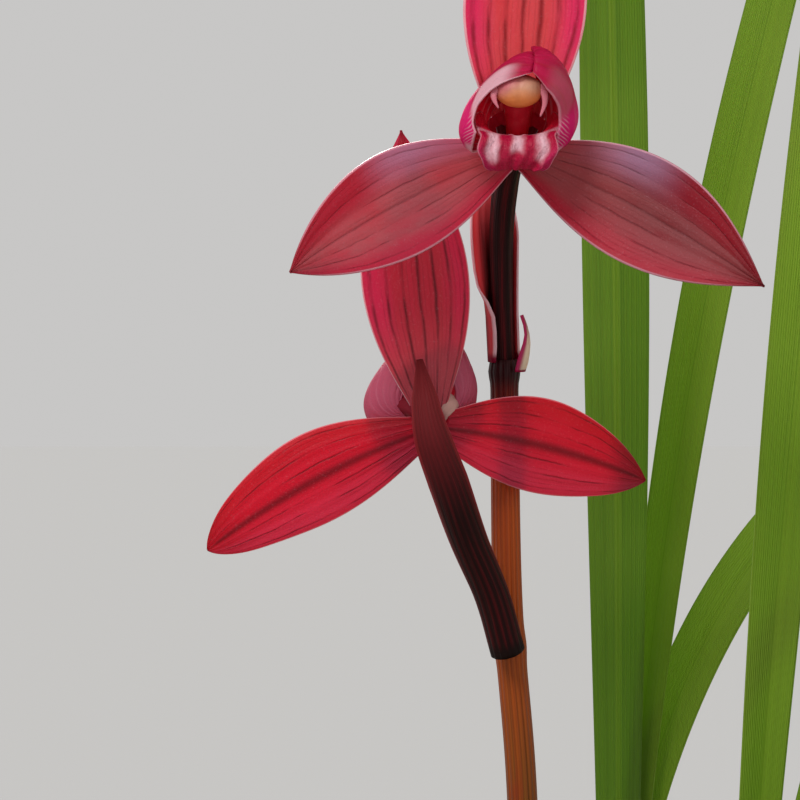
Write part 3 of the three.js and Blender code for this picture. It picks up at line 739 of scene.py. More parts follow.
@dataclass(frozen=True)
class StalkFinish:
    """Flower stalk with the ovary: near-black maroon with redder ridges, and the red cup at its end with a painted
    pale glint.
    """

    dark: Colour = rgb(30, 4, 5)
    red: Colour = rgb(98, 14, 22)
    cup: Colour = rgb(228, 30, 62)
    cup_back: Colour = rgb(120, 20, 36)
    painted_cup_glint: Colour = rgb(190, 144, 136)

    def make(self) -> Material:
        """Lays the ridged stalk, and where the piece mask says so the cup, darker on its outer face and with a
        painted pale glint by the tint mask.

        Returns:
            The material.
        """
        bench = NodeBench("flower_stalk")
        cup, tint = bench.mask(PIECE_MASK), bench.mask(TINT_MASK)
        _, around = bench.surface()
        streak = bench.noise(bench.grid(2, 16), 1.4, 4, 0.6)
        ridge = bench.times(bench.lines(around, 6, 0.8), bench.step(streak, 0.35, 0.7, 0.1, 0.8))
        # The pale colour of the cup is a painted glint: a patch on one side of its outer face.
        bowl = bench.coats(
            self.cup, (bench.step(tint, 0.0, 0.5), self.cup_back), (bench.step(tint, 0.5, 1.0), self.painted_cup_glint))
        colour = bench.coats(self.dark, (ridge, self.red), (cup, bowl))
        normal = bench.bump(bench.plus(bench.lines(around, 30, 0.9), 0.4, streak), 0.00012)
        return bench.finish(colour, bench.rough(streak, 0.5, 0.7), normal, 0.12, bench.times(cup, 0.12))


@dataclass(frozen=True)
class BractFinish:
    """Thin bract or sheath: ribbed along, darkest in its middle, with thin see-through red or pale edges."""

    name: str
    middle: Colour
    ribs: Colour
    edge: Colour
    margin: Colour
    foot: Colour
    count: float = 11
    glow: float = 0.2

    def make(self) -> Material:
        """Lays the ribs, then the edges and the tip, the margin and the foot.

        Returns:
            The material.
        """
        bench = NodeBench(self.name)
        along, across = bench.surface()
        away = bench.away(across)
        streak = bench.noise(bench.grid(2.2, 22), 1.4, 4, 0.6)
        lines = bench.times(bench.lines(across, self.count, 0.9), 0.7)
        tip = bench.step(along, 0.5, 1.0, 0, 0.8)
        colour = bench.coats(
            self.middle,
            (bench.times(lines, bench.step(streak, 0.3, 0.7)), self.ribs),
            (bench.maths("MAXIMUM", bench.step(away, 0.5, 0.85), tip), self.edge),
            (bench.times(bench.step(away, 0.88, 0.95), 0.9), self.margin),
            (bench.step(along, 0.06, 0.02), self.foot))
        normal = bench.bump(bench.plus(lines, 0.5, streak), 0.00016)
        return bench.finish(colour, bench.rough(streak, 0.5, 0.7), normal, 0.15, self.glow)


@dataclass(frozen=True)
class SepalFinish:
    """Sepal: red with dark veins along it, redder sides, a thin pale margin, a dusty bloom on top, a painted lilac
    sheen by the upper edge and a foot lightened with painted light.

    Each share says how strongly its colour shows. The piece mask says which edge is the lower one.
    """

    name: str
    base: Colour
    side: Colour
    low: Colour
    # The high colour is that of the painted sheen: a lilac reflection by the upper edge.
    high: Colour
    vein: Colour
    bloom: Colour
    margin: Colour
    through: Colour
    bloom_share: float = 0.5
    margin_share: float = 0.6
    vein_share: float = 0.75
    rib_share: float = 0.7
    rib_width: float = 0.05
    vein_width: float = 0.26
    painted_sheen_share: float = 0.0
    # foot_share: how strongly painted light lightens the foot, which the hood shades.
    foot_share: float = 0.0
    tip_share: float = 0.0
    flare_share: float = 0.0
    deep_share: float = 0.0
    unbroken: float = 0.3
    veins: float = 7
    glow: float = 0.45

    def make(self) -> Material:
        """Lays the colours from edge to edge, the bloom, the painted sheen, the foot lightened with painted light and
        the tip, then veins and margin.

        Returns:
            The material.
        """
        bench = NodeBench(self.name)
        along, across = bench.surface()
        front, grain = bench.mask(SIDE_MASK), bench.grain()
        away = bench.away(across)
        upper = bench.maths("SUBTRACT", across, 1)
        below = bench.maths("ABSOLUTE", bench.maths("ADD", upper, bench.mask(PIECE_MASK)))
        cloud = bench.noise(bench.grid(4, 3), 1.2, 5, 0.62)
        streak = bench.noise(bench.grid(2.5, 20), 1.0, 4, 0.62)
        broken = bench.noise(bench.grid(3.2, 9), 1.0, 3, 0.6)
        bend = bench.centred(bench.noise(bench.grid(2.6, 1.2), 1.5, 2))
        shiver = bench.centred(bench.noise(bench.grid(14, 6), 1.0, 3))
        drift = bench.plus(bend, 0.06, bench.plus(shiver, 0.022, across))
        main = bench.times(
            bench.lines(drift, self.veins, self.vein_width), bench.step(broken, 0.4, 0.58, self.unbroken, 1))
        fine = bench.times(bench.lines(drift, self.veins * 3, 0.5), bench.step(streak, 0.4, 0.65, 0, 0.3))
        rib = bench.times(bench.step(away, self.rib_width, 0.0), self.rib_share)
        veins = bench.times(
            bench.maths("MAXIMUM", bench.maths("MAXIMUM", main, fine), rib),
            bench.step(away, 1.0, 0.84), bench.step(along, 1.0, 0.93, 0.3, 1))
        drawn = bench.times(veins, self.vein_share)
        bloom = bench.times(bench.step(away, 0.94, 0.45), bench.step(cloud, 0.32, 0.6, 0.35, 1), front)
        # Painted sheen: a lilac reflection by the upper edge, towards the base, on the front face.
        sheen = bench.times(bench.step(below, 0.42, 0.06), bench.step(along, 0.75, 0.3), front)
        flare = bench.times(bench.step(below, 0.46, 0.22), bench.step(along, 0.42, 0.62))
        # Painted light: the foot, in the hood's shade, lightened with the bloom's colour, short of the lower edge.
        foot = bench.times(bench.step(along, 0.4, 0.1, 0, self.foot_share), bench.step(below, 0.9, 0.6))
        deep = bench.times(bench.step(along, 0.22, 0.13, 0, self.deep_share), front)
        edge = bench.times(
            bench.step(away, 0.962, 0.99), bench.step(broken, 0.25, 0.6, 0.4, 1), bench.step(along, 0.99, 0.8))
        colour = bench.coats(
            self.base,
            (bench.step(bench.plus(cloud, 0.5, away), 0.6, 1.02), self.side),
            (bench.step(below, 0.5, 0.9, 0, 0.8), self.low),
            (bench.step(streak, 0.5, 0.72, 0, 0.32), self.side),
            (bench.times(bloom, self.bloom_share), self.bloom),
            (bench.times(sheen, self.painted_sheen_share), self.high),
            (bench.times(flare, self.flare_share), self.side),
            (foot, self.bloom),
            (deep, self.vein),
            (bench.step(along, 0.72, 1.0, 0, self.tip_share), self.vein),
            (drawn, self.vein),
            (bench.times(edge, self.margin_share), self.margin),
            (bench.step(grain, 0.55, 0.8, 0, 0.12), self.margin))
        lit = bench.coats(
            self.through,
            (bench.step(below, 0.5, 0.9, 0, 0.6), self.low),
            (bench.maths("MAXIMUM", drawn, deep), self.vein))
        normal = bench.bump(bench.plus(veins, -0.8, bench.times(grain, 0.5)), 0.00012, 0.8)
        return bench.finish(colour, bench.rough(cloud, 0.45, 0.65), normal, 0.3, self.glow, lit)


@dataclass(frozen=True)
class PetalFinish:
    """Petal of the hood: magenta with darker stripes, paler streaks inside and a pale front margin.

    The piece mask says how broad the pale band of the front margin is: a pale margin, and on the left petal a broad
    painted highlight where light from above falls on it.
    """

    name: str = "upper_petal"
    outer: Colour = rgb(190, 14, 74)
    deep: Colour = rgb(142, 6, 46)
    lobe: Colour = rgb(242, 16, 126)
    inner: Colour = rgb(200, 22, 52)
    stripe: Colour = rgb(172, 16, 46)
    rosy: Colour = rgb(196, 70, 104)
    pale: Colour = rgb(240, 192, 206)
    through: Colour = rgb(226, 40, 90)
    stroke_share: float = 0.6
    brim_share: float = 0.9

    def make(self) -> Material:
        """Lays the outer and the inner face, each with its stripes, and the margin over both.

        Returns:
            The material.
        """
        bench = NodeBench(self.name)
        along, across = bench.surface()
        pale_and_lit_band, grain = bench.mask(PIECE_MASK), bench.grain()
        cloud = bench.noise(bench.grid(3, 3), 1.4, 5, 0.6)
        streak = bench.noise(bench.grid(3, 16), 1.0, 3, 0.6)
        stripes = bench.times(
            bench.lines(bench.plus(cloud, 0.05, across), 8, 0.5), bench.step(streak, 0.35, 0.65, 0.2, 1))
        place = bench.plus(bench.centred(cloud), 0.12, across)
        strokes = bench.times(
            bench.lines(bench.plus(across, -1.1, along), 27, 0.6), bench.step(place, 0.86, 0.93),
            bench.step(along, 0.32, 0.4), bench.step(along, 0.66, 0.58), self.stroke_share)
        past = bench.maths("SUBTRACT", place, bench.step(along, 0.6, 0.72, 0.84, 0.72))
        # Painted highlight: a broad pale band by the front margin, strong where the piece mask is high, as on the
        # left petal.
        broad = bench.times(
            bench.step(past, 0, 0.1), pale_and_lit_band, bench.step(along, 0.57, 0.66), bench.step(along, 0.96, 0.84), 0.85)
        brim = bench.times(bench.step(across, 0.87, 0.94), bench.step(along, 0.38, 0.32, 0, self.brim_share))
        outside = bench.coats(
            self.outer,
            (bench.step(cloud, 0.4, 0.7, 0, 0.7), self.deep),
            (bench.times(stripes, 0.5), self.stripe),
            (bench.step(along, 0.68, 0.56, 0, 0.75), self.lobe),
            (strokes, self.pale),
            (broad, self.pale),
            (brim, self.pale))
        inside = bench.coats(
            self.inner,
            (bench.step(across, 0.5, 0.9, 0, 0.6), self.rosy),
            (bench.times(stripes, bench.step(along, 0.75, 0.3, 0, 0.5)), self.pale))
        edge = bench.times(bench.step(across, 0.965, 0.99), bench.plus(pale_and_lit_band, 0.5, 0.25))
        colour = bench.coats(inside, (bench.mask(SIDE_MASK), outside), (edge, self.pale))
        normal = bench.bump(bench.plus(stripes, -0.5, bench.times(grain, 0.5)), 0.00012)
        return bench.finish(colour, bench.rough(cloud, 0.45, 0.65), normal, 0.2, 0.3, self.through)


@dataclass(frozen=True)
class LipFinish:
    """Lip: crimson middle lobe with pale patches, bright red throat and magenta side lobes."""

    crimson: Colour = rgb(184, 2, 60)
    throat: Colour = rgb(240, 26, 58)
    lobe: Colour = rgb(204, 24, 94)
    pale: Colour = rgb(252, 204, 218)
    through: Colour = rgb(216, 24, 86)

    def make(self) -> Material:
        """Lays throat and middle lobe, the side lobes and corners, then three pale patches and the crest.

        Returns:
            The material.
        """
        bench = NodeBench("lip")
        along, across = bench.surface()
        away = bench.away(across)
        cloud = bench.noise(bench.grid(3, 3), 2.0, 5, 0.6)
        fine = bench.noise(bench.grid(6, 12), 1.5, 4, 0.6)
        outside = bench.rest(bench.mask(SIDE_MASK))
        lobes = bench.times(bench.step(away, 0.5, 0.85), bench.step(along, 0.7, 0.6), outside)
        corner = bench.times(bench.step(away, 0.6, 0.9), bench.step(along, 0.72, 0.86, 0, 0.7))
        sway = bench.plus(bench.centred(cloud), 0.16, across)
        above_edge = bench.maths("SUBTRACT", bench.plus(away, 0.14, 0.84), along)
        patches = bench.times(
            bench.lines(bench.plus(sway, 1.06, -0.03), 3, 0.8), bench.step(along, 0.585, 0.625),
            bench.step(above_edge, 0.0, 0.08), bench.step(fine, 0.3, 0.55, 0.65, 0.95))
        crest = bench.times(bench.step(along, 0.56, 0.585), bench.step(along, 0.63, 0.6, 0, 0.35))
        colour = bench.coats(
            self.crimson,
            (bench.step(along, 0.6, 0.52), self.throat),
            (lobes, self.lobe),
            (corner, self.lobe),
            (patches, self.pale),
            (crest, self.pale),
            (bench.times(bench.step(away, 0.97, 0.99), 0.3), self.pale))
        normal = bench.bump(bench.plus(fine, 2, bench.grain()), 0.0002)
        return bench.finish(colour, bench.rough(cloud, 0.35, 0.55), normal, 0.35, 0.22, self.through)


@dataclass(frozen=True)
class ColumnFinish:
    """Column: dark red, with pale pink wing tips by the piece mask, a painted highlight, and a few paler flecks."""

    red: Colour = rgb(196, 22, 44)
    fleck: Colour = rgb(200, 54, 66)
    pale: Colour = rgb(212, 118, 134)

    def make(self) -> Material:
        """Lays flecks that grow more towards the end, and the pale wings with their painted highlight.

        Returns:
            The material.
        """
        bench = NodeBench("column")
        along, _ = bench.surface()
        cloud = bench.noise(bench.place(), 700, 5, 0.6)
        flecks = bench.times(bench.step(cloud, 0.5, 0.66), bench.step(along, 0.2, 0.9, 0, 0.6))
        # The pale wings are a painted highlight: the pale marks at the hood's opening.
        colour = bench.coats(self.red, (flecks, self.fleck), (bench.mask(PIECE_MASK), self.pale))
        return bench.finish(colour, bench.rough(cloud, 0.36, 0.55), bench.bump(cloud, 0.0002), 0.35, 0.12)


@dataclass(frozen=True)
class CapFinish:
    """Anther cap: cream with a pink flush above and orange yellow below."""

    cream: Colour = rgb(215, 158, 130)
    pink: Colour = rgb(204, 98, 114)
    orange: Colour = rgb(242, 140, 74)

    def make(self) -> Material:
        """Lays the colours by the height in the piece mask, and the flush by the tint mask too.

        Returns:
            The material.
        """
        bench = NodeBench("anther_cap")
        cloud = bench.noise(bench.place(), 420, 4, 0.6)
        level = bench.plus(cloud, 0.4, bench.mask(PIECE_MASK))
        flush = bench.step(bench.maths("ADD", level, bench.mask(TINT_MASK)), 0.95, 1.6)
        colour = bench.coats(self.orange, (bench.step(level, 0.35, 0.85), self.cream), (flush, self.pink))
        return bench.finish(colour, bench.rough(cloud, 0.42, 0.6), bench.bump(cloud, 0.0003), 0.35, 0.15)


@dataclass(frozen=True)
class LeafFinish:
    """Strap leaf: fresh green in parallel bands, pale sheath foot, light midrib and edges, duller below, with painted
    shade in the midrib's fold and towards the foot.
    """

    green: Colour = rgb(98, 136, 16)
    dark: Colour = rgb(60, 94, 8)
    light: Colour = rgb(148, 176, 62)
    foot: Colour = rgb(170, 172, 92)
    under: Colour = rgb(110, 140, 58)
    tip: Colour = rgb(150, 128, 62)
    through: Colour = rgb(150, 190, 30)

    def make(self) -> Material:
        """Lays bands and fine lines, the underside, painted shade in the midrib's groove and light on its sides,
        edges, painted shade lower down, foot and tip.

        Returns:
            The material.
        """
        bench = NodeBench("strap_leaf")
        along, across = bench.surface()
        away = bench.away(across)
        bands = bench.noise(bench.grid(0.6, 20), 1.0, 3, 0.6)
        cloud = bench.noise(bench.place(), 26, 4)
        fine = bench.lines(across, 26, 0.9)
        colour = bench.coats(
            self.dark,
            (bench.step(bands, 0.42, 0.58), self.green),
            (bench.step(cloud, 0.45, 0.72, 0, 0.5), self.light),
            (bench.times(fine, 0.2), self.light),
            (bench.times(bench.rest(bench.mask(SIDE_MASK)), 0.6), self.under),
            (bench.times(bench.mask(PIECE_MASK), 0.8), self.light),
            # Painted shade in the fold along the midrib.
            (bench.step(away, 0.05, 0.0, 0, 0.75), self.dark),
            (bench.step(away, 0.1, 0.06, 0, 0.35), self.light),
            (bench.step(away, 0.94, 1.0, 0, 0.55), self.light),
            # Painted shade: darker over the lower half, towards the foot, where the fan shades the leaf.
            (bench.step(along, 0.5, 0.25, 0, 0.35), self.dark),
            (bench.step(along, 0.08, 0.0, 0, 0.85), self.foot),
            (bench.step(along, 0.975, 0.995), self.tip))
        normal = bench.bump(bench.maths("ADD", fine, bands), 0.00012, 0.7)
        return bench.finish(colour, bench.rough(bands, 0.34, 0.5), normal, 0.14, 0.35, self.through)


@dataclass(frozen=True)
class FloorFinish:
    """The floor's plain pale matt surface."""

    pale: Colour = (0.372, 0.374, 0.376, 1.0)

    def make(self) -> Material:
        """Returns the material."""
        return NodeBench("pale_floor").finish(self.pale, 1.0, shine=0.0)


# The pot and what fills it


@dataclass
class Pot:
    """Plain turned clay pot with a stepped rim and four drain holes."""

    height: float = 140
    radius: float = 60
    base_radius: float = 46
    rim_foot: float = 115
    floor: float = 8
    drain_radius: float = 6.5
    drain_ring: float = 25
    drain_cut: tuple[float, float] = (-5, 16)
    drains: int = 4
    sides: int = 112
    section_stops: int = 260

    def profile(self) -> Array:
        """Works out the section: straight runs whose corners are averaged round twice.

        Returns:
            The radius and the height of each point, one a row.
        """
        corners = np.array([
            (0.4, 0), (self.base_radius - 1.5, 0), (self.base_radius, 1.5), (self.radius - 4, self.rim_foot),
            (self.radius - 1, self.rim_foot + 1), (self.radius, self.rim_foot + 3), (self.radius, self.height - 2.5),
            (self.radius - 2, self.height), (self.radius - 4.5, self.height), (self.radius - 7, self.height - 3),
            (self.radius - 8, self.rim_foot), (self.base_radius - 5, self.floor), (0.4, self.floor)])
        run = running_length(corners)
        stops = np.linspace(0, run[-1], self.section_stops)
        section = np.stack([np.interp(stops, run, corners[:, k]) for k in range(2)], -1)
        for _ in range(2):
            section[1:-1] = section[1:-1] / 2 + (section[:-2] + section[2:]) / 4
        return section

    def build(self, clay: Material) -> None:
        """Turns the section round the Z axis, with throwing lines of two waves, and bores the drain holes.

        Args:
            clay: The finish.
        """
        radius, height = self.profile().T
        wall = (np.arange(len(radius)) > 25) & (height < self.rim_foot - 2) & (radius > 44.5)
        ripple = 0.1 * np.sin(height * 1.7) + 0.06 * np.sin(height * 0.63) - 0.16
        radius = radius + np.where(wall, ripple, 0)
        turn = turns(self.sides)
        rings = np.stack([np.outer(radius, np.cos(turn)), np.outer(radius, np.sin(turn)),
                          np.repeat(height[:, None], self.sides, 1)], -1)
        skin = Skin("pot")
        skin.tube(rings, (0, 0, 0), (0, 0, self.floor))
        self.bore(skin.make("pot", clay))

    def bore(self, piece: bpy.types.Object) -> None:
        """Takes the drain holes out of the pot's floor with one cutter of round posts, and applies it.

        Args:
            piece: The pot.
        """
        posts = Skin("drain_cutter")
        turn = turns(32)
        ring = np.stack([np.cos(turn), np.sin(turn), 0 * turn], -1) * self.drain_radius
        for k in range(self.drains):
            middle = heading(360 * (k + 0.5) / self.drains) * self.drain_ring
            ends = [middle + UP * z for z in self.drain_cut]
            posts.tube(np.stack([ring + end for end in ends]), *ends)
        cutter = add_object(posts.node, posts.mesh(posts.node))
        cut = piece.modifiers.new("drains", "BOOLEAN")
        cut.operation, cut.object, cut.solver = "DIFFERENCE", cutter, "EXACT"
        bpy.context.view_layer.update()
        bored = bpy.data.meshes.new_from_object(piece.evaluated_get(bpy.context.evaluated_depsgraph_get()))
        piece.modifiers.clear()
        piece.data = bored
        bpy.data.objects.remove(cutter)


@dataclass
class PottingMix:
    """Bark and pumice: an uneven bed, and loose chips that lie on it at drawn places and turns."""

    floor: float = 8.3
    level: float = 124
    top_radius: float = 51.6
    foot_radius: float = 40.7
    bed_rings: int = 34
    chips: int = 360
    chip_size: tuple[float, float, float] = (13, 8, 4.4)
    pumice_from: float = 0.87

    def bed(self, skin: Skin) -> None:
        """Adds the bed: a turned body whose top rises and falls with a few crossing waves.

        Args:
            skin: The piece.
        """
        rings = [(self.foot_radius, self.floor), (self.top_radius, 114), (self.top_radius, 121.5)]
        rings += [(self.top_radius * (1 - k / self.bed_rings), self.level - 0.4) for k in range(1, self.bed_rings)]
        radius, height = (np.array(rings)[:, k][:, None] for k in range(2))
        turn = turns(96)
        x, y = radius * np.cos(turn), radius * np.sin(turn)
        wave = np.sin(x * 0.61 + 1.3 * np.sin(y * 0.35)) + np.sin(y * 0.77 + 1.1 * np.sin(x * 0.45))
        wave = wave + 0.6 * np.sin(x * 1.7 + y * 1.1) * np.sin(y * 1.9 - x * 0.7)
        z = height + np.where(height > 122, 0.55 * wave - 0.5, 0)
        skin.tube(np.stack([x, y, z], -1), (0, 0, self.floor), (0, 0, self.level - 1), 0.18)

    def chip_form(self) -> tuple[Array, Array]:
        """Works out the plain chip: the outer points of a cube of two steps a side, drawn in to be round.

        Returns:
            The points, and the faces between them.
        """
        steps = np.array([-1.0, 0.0, 1.0])
        cube = np.stack(np.meshgrid(steps, steps, steps, indexing="ij"), -1).reshape(-1, 3)
        outside = np.abs(cube).max(1) == 1
        number = (np.cumsum(outside) - 1).reshape(3, 3, 3)
        faces = []
        for axis in range(3):
            turned = np.moveaxis(number, (axis, (axis + 1) % 3, (axis + 2) % 3), (0, 1, 2))
            faces += [quads(turned[0])[:, ::-1], quads(turned[2])]
        points = cube[outside]
        return points / np.linalg.norm(points, axis=1, keepdims=True) ** 0.55, np.concatenate(faces)

    def scatter(self, base: Array) -> tuple[Array, Array]:
        """Draws every chip: its points are the plain chip's, each moved a little, sized, turned and moved.

        Args:
            base: The plain chip's points.

        Returns:
            The points by chip, and each chip's draw of its kind.
        """
        n = np.arange(self.chips)[:, None]
        shaky = base + 0.3 * (draw(n[..., None] * 31.7 + np.arange(base.size).reshape(base.shape) * 1.37 + 5) - 0.5)
        grade = 0.34 + 0.6 * draw(n[:, 0] + 0.21) ** 1.5
        size = np.array(self.chip_size) / 2 * grade[:, None] * (0.75 + 0.5 * draw(n * 3.1 + np.arange(3) + 0.4))
        kind = draw(n[:, 0] + 0.77)
        pumice = kind > self.pumice_from
        size[pumice] = size[pumice].mean(1, keepdims=True) * 1.1
        tilt = (draw(n * 1.9 + np.arange(3) + 0.6) - 0.5) * np.array([0.9, 0.9, 2 * np.pi])
        (ca, cb, cc), (sa, sb, sc) = np.cos(tilt).T, np.sin(tilt).T
        turned = np.stack([cc * cb, cc * sb * sa - sc * ca, cc * sb * ca + sc * sa,
                           sc * cb, sc * sb * sa + cc * ca, sc * sb * ca - cc * sa,
                           -sb, cb * sa, cb * ca], -1).reshape(-1, 3, 3)
        ring = (self.top_radius - 1 - size.max(1)) * np.sqrt(draw(n[:, 0] + 0.13))
        middle = heading(360 * draw(n[:, 0] + 0.53)) * ring[:, None]
        middle[:, 2] = self.level - 0.2 + 1.7 * draw(n[:, 0] + 0.9)
        return np.einsum("nij,nkj->nki", turned, shaky * size[:, None, :]) + middle[:, None, :], kind

    def build(self, mixed: Material) -> None:
        """Builds the bed and the chips as one piece.

        Args:
            mixed: The finish.
        """
        skin = Skin("potting_mix")
        self.bed(skin)
        base, faces = self.chip_form()
        uv = np.broadcast_to(np.array([(0, 0), (1, 0), (1, 1), (0, 1)], float), (len(faces), 4, 2))
        for points, kind in zip(*self.scatter(base)):
            skin.shell(points, [(faces, uv)], 1.0, kind)
        skin.make("potting_mix", mixed)


# Shoots


@dataclass(frozen=True)
class Leaf:
    """One strap leaf: where it stands in its fan, where it leans and its size.

    The lean goes from the first angle at the foot to the second at the tip, by the third as a power of the
    share. The face turns from the first azimuth to the second.
    """

    step: float
    azimuth: float
    lean: tuple[float, float, float]
    length: float
    width: float
    face: tuple[float, float]


@dataclass(frozen=True)
class Shoot:
    """A pseudobulb and its fan of leaves."""

    name: str
    place: tuple[float, float]
    fan: float
    leaves: tuple[Leaf, ...]


SHOOTS = (
    Shoot("middle", (0, 15), 90, (
        Leaf(-3, -96, (14, 120, 1), 135, 8.6, (-90, -96)),
        Leaf(-2, -82, (7, 112, 1), 150, 9, (-90, -82)),
        Leaf(-1, -102, (0, 26, 2.6), 318, 10.6, (-90, -94)),
        Leaf(1, 25, (-2, 27, 1), 336, 8.4, (90, 66)),
        Leaf(2.8, 12, (-4, 140, 2), 245, 9.2, (90, 52)),
        Leaf(3.8, 44, (14, 118, 1), 215, 9, (90, 44)))),
    Shoot("right", (14.5, 2), 90, (
        Leaf(-2, -76, (8, 110, 1), 220, 9, (-90, -76)),
        Leaf(-1, -4, (3, 62, 1.3), 325, 9.6, (-90, -24)),
        Leaf(1, 5, (2.4, 8, 1), 300, 9.4, (90, 78)),
        Leaf(2, 12, (4, 76, 1.2), 300, 9.6, (90, 30)),
        Leaf(3, 62, (12, 116, 1), 205, 8.8, (90, 62)))),
    Shoot("front", (31, -13), 80, (
        Leaf(-2, -70, (9, 112, 1.1), 235, 9, (-100, -70)),
        Leaf(-1, -48, (3, 56, 1.5), 320, 9.6, (-100, -56)),
        Leaf(1, -8, (2, 52, 1.6), 335, 9.8, (80, 10)),
        Leaf(2, 30, (6, 100, 1), 250, 9.2, (80, 36)),
        Leaf(3, 18, (16, 122, 1), 165, 8.2, (80, 22)))),
    Shoot("back", (-18, 21), 110, (
        Leaf(-2.1, -168, (24, 124, 1), 120, 7.6, (-70, -168)),
        Leaf(-1, 168, (10, 116, 1), 145, 8.4, (-70, -180)),
        Leaf(1, 146, (10, 116, 1), 160, 8.8, (110, 146)),
        Leaf(2, 104, (20, 124, 1), 150, 8.2, (110, 104)))),
    Shoot("left", (-22, -2), 90, (
        Leaf(-2, -108, (20, 122, 1), 125, 7.8, (-90, -108)),
        Leaf(-1, -136, (9, 116, 1), 145, 8.6, (-90, -136)),
        Leaf(1, -166, (10, 118, 1), 150, 8.6, (90, 190)),
        Leaf(2, 180, (22, 124, 1), 105, 7.4, (90, 180)))),
)


@dataclass(frozen=True)
class Bulb:
    """The form of a pseudobulb: an egg flattened across the fan and cut level at its top."""

    half_height: float = 12.6
    length: float = 17
    width: float = 14
    middle: float = 129
    top: float = 141

    def shoulder(self, away: float) -> float:
        """Returns the height of the bulb's upper side at a distance from its axis along the fan."""
        return min(self.middle + self.half_height * math.sqrt(1 - (2 * away / self.length) ** 2), self.top)


@dataclass(frozen=True)
class Wrap:
    """A dry pointed sheath: the fan's end that it goes round, its half length at the foot, height and lean."""

    end: int
    reach: float
    height: float
    spread: float


@dataclass
class Bulbs:
    """Pseudobulbs with dry sheaths, joined by a creeping rhizome with fleshy roots."""

    form: Bulb = Bulb()
    wraps: tuple[Wrap, ...] = (Wrap(1, 8.9, 33, 8), Wrap(-1, 8.9, 30, 8), Wrap(1, 9.5, 20, 5), Wrap(-1, 9.5, 22, 5))
    wrap_foot: float = 118
    rhizome_order: tuple[str, ...] = ("front", "right", "middle", "back", "left")
    rhizome_end: tuple[float, float] = (-12.2, -13)
    rhizome_height: float = 114
    rhizome_radius: float = 3
    roots: int = 7
    root_radii: tuple[float, ...] = (2, 2, 1.3)
    root_stops: tuple[tuple[float, float], ...] = ((0.55, 92), (1, 62), (0.92, 28))

    def bulb(self, skin: Skin, shoot: Shoot) -> None:
        """Adds a bulb: rings whose radius follows a half circle from pole to pole, with soft ribs.

        Args:
            skin: The piece.
            shoot: The shoot.
        """
        form = self.form
        rise = np.linspace(-0.485 * np.pi, 0.47 * np.pi, 26)[:, None]
        around = turns(48)[None]
        ribs = 1 - 0.03 * (0.5 + 0.5 * np.cos(11 * around + 1.5 * rise)) * np.cos(rise)
        radius = np.cos(rise) ** 0.85 * ribs
        x, y = radius * np.cos(around) * form.length / 2, radius * np.sin(around) * form.width / 2
        z = form.middle + np.minimum(form.half_height * np.sin(rise), form.top - form.middle) + 0 * around
        fan, square = heading(shoot.fan), heading(shoot.fan + 90)
        foot = np.array([*shoot.place, 0.0])
        rings = foot + fan * x[..., None] + square * y[..., None] + UP * z[..., None]
        skin.tube(rings, foot + UP * (form.middle - form.half_height), foot + UP * form.top)

    def wrap(self, shoot: Shoot, wrap: Wrap, u: Array, v: Array) -> Array:
        """Works out a sheath's surface.

        A point stands on an oval round the fan, from the bulb's waist up, leaning out more and more, and the
        sheath narrows to a point.

        Args:
            shoot: The shoot.
            wrap: The sheath.
            u: The share up the sheath.
            v: The place across it from -1 to 1.

        Returns:
            The points.
        """
        turn = np.radians(86) * (1 - u**2.2 * 0.93) * v
        waist = 1 - 0.3 * smooth(u, 0.25, 0.75)
        out = (wrap.reach * waist * np.cos(turn) + wrap.spread * u**2) * wrap.end
        across = self.form.width / 2 * 1.06 * waist * np.sin(turn)
        foot = np.array([*shoot.place, self.wrap_foot])
        fan, square = heading(shoot.fan), heading(shoot.fan + 90)
        return foot + fan * out[..., None] + square * across[..., None] + UP * (wrap.height * u)[..., None]

    def root(self, skin: Skin, number: int) -> None:
        """Adds a root: from the rhizome out towards a drawn place, and down along the pot's wall.

        Args:
            skin: The piece.
            number: The root's number.
        """
        start = np.array([*SHOOTS[number % len(SHOOTS)].place, self.rhizome_height + 2])
        out = heading(360 * number / self.roots + 30 * draw(number)) * (34 + 6 * draw(number + 0.5))
        stops = [np.array([*lerp(start, out, share)[:2], height]) for share, height in self.root_stops]
        skin.stalk(Path([start, *stops]), lambda s, t: read_list(self.root_radii, s) + 0 * t, (40, 10), draws=1.0)

    def build(self, finish: Material) -> None:
        """Builds the bulbs, sheaths, rhizome and roots as one piece.

        Args:
            finish: The finish.
        """
        skin = Skin("pseudobulbs_and_roots")
        for shoot in SHOOTS:
            self.bulb(skin, shoot)
            for wrap in self.wraps:
                skin.blade(partial(self.wrap, shoot, wrap), thinning(0.45, 0.2), None, (36, 20), 0.5)
        places = {shoot.name: shoot.place for shoot in SHOOTS}
        stops = [*(places[name] for name in self.rhizome_order), self.rhizome_end]
        skin.stalk(
            Path([(*stop, self.rhizome_height) for stop in stops]),
            lambda s, t: self.rhizome_radius * (1 + 0.06 * np.cos(90 * s)) + 0 * t, (90, 16), (0, 0, 1), draws=0.5)
        for number in range(self.roots):
            self.root(skin, number)
        skin.make("pseudobulb", finish)


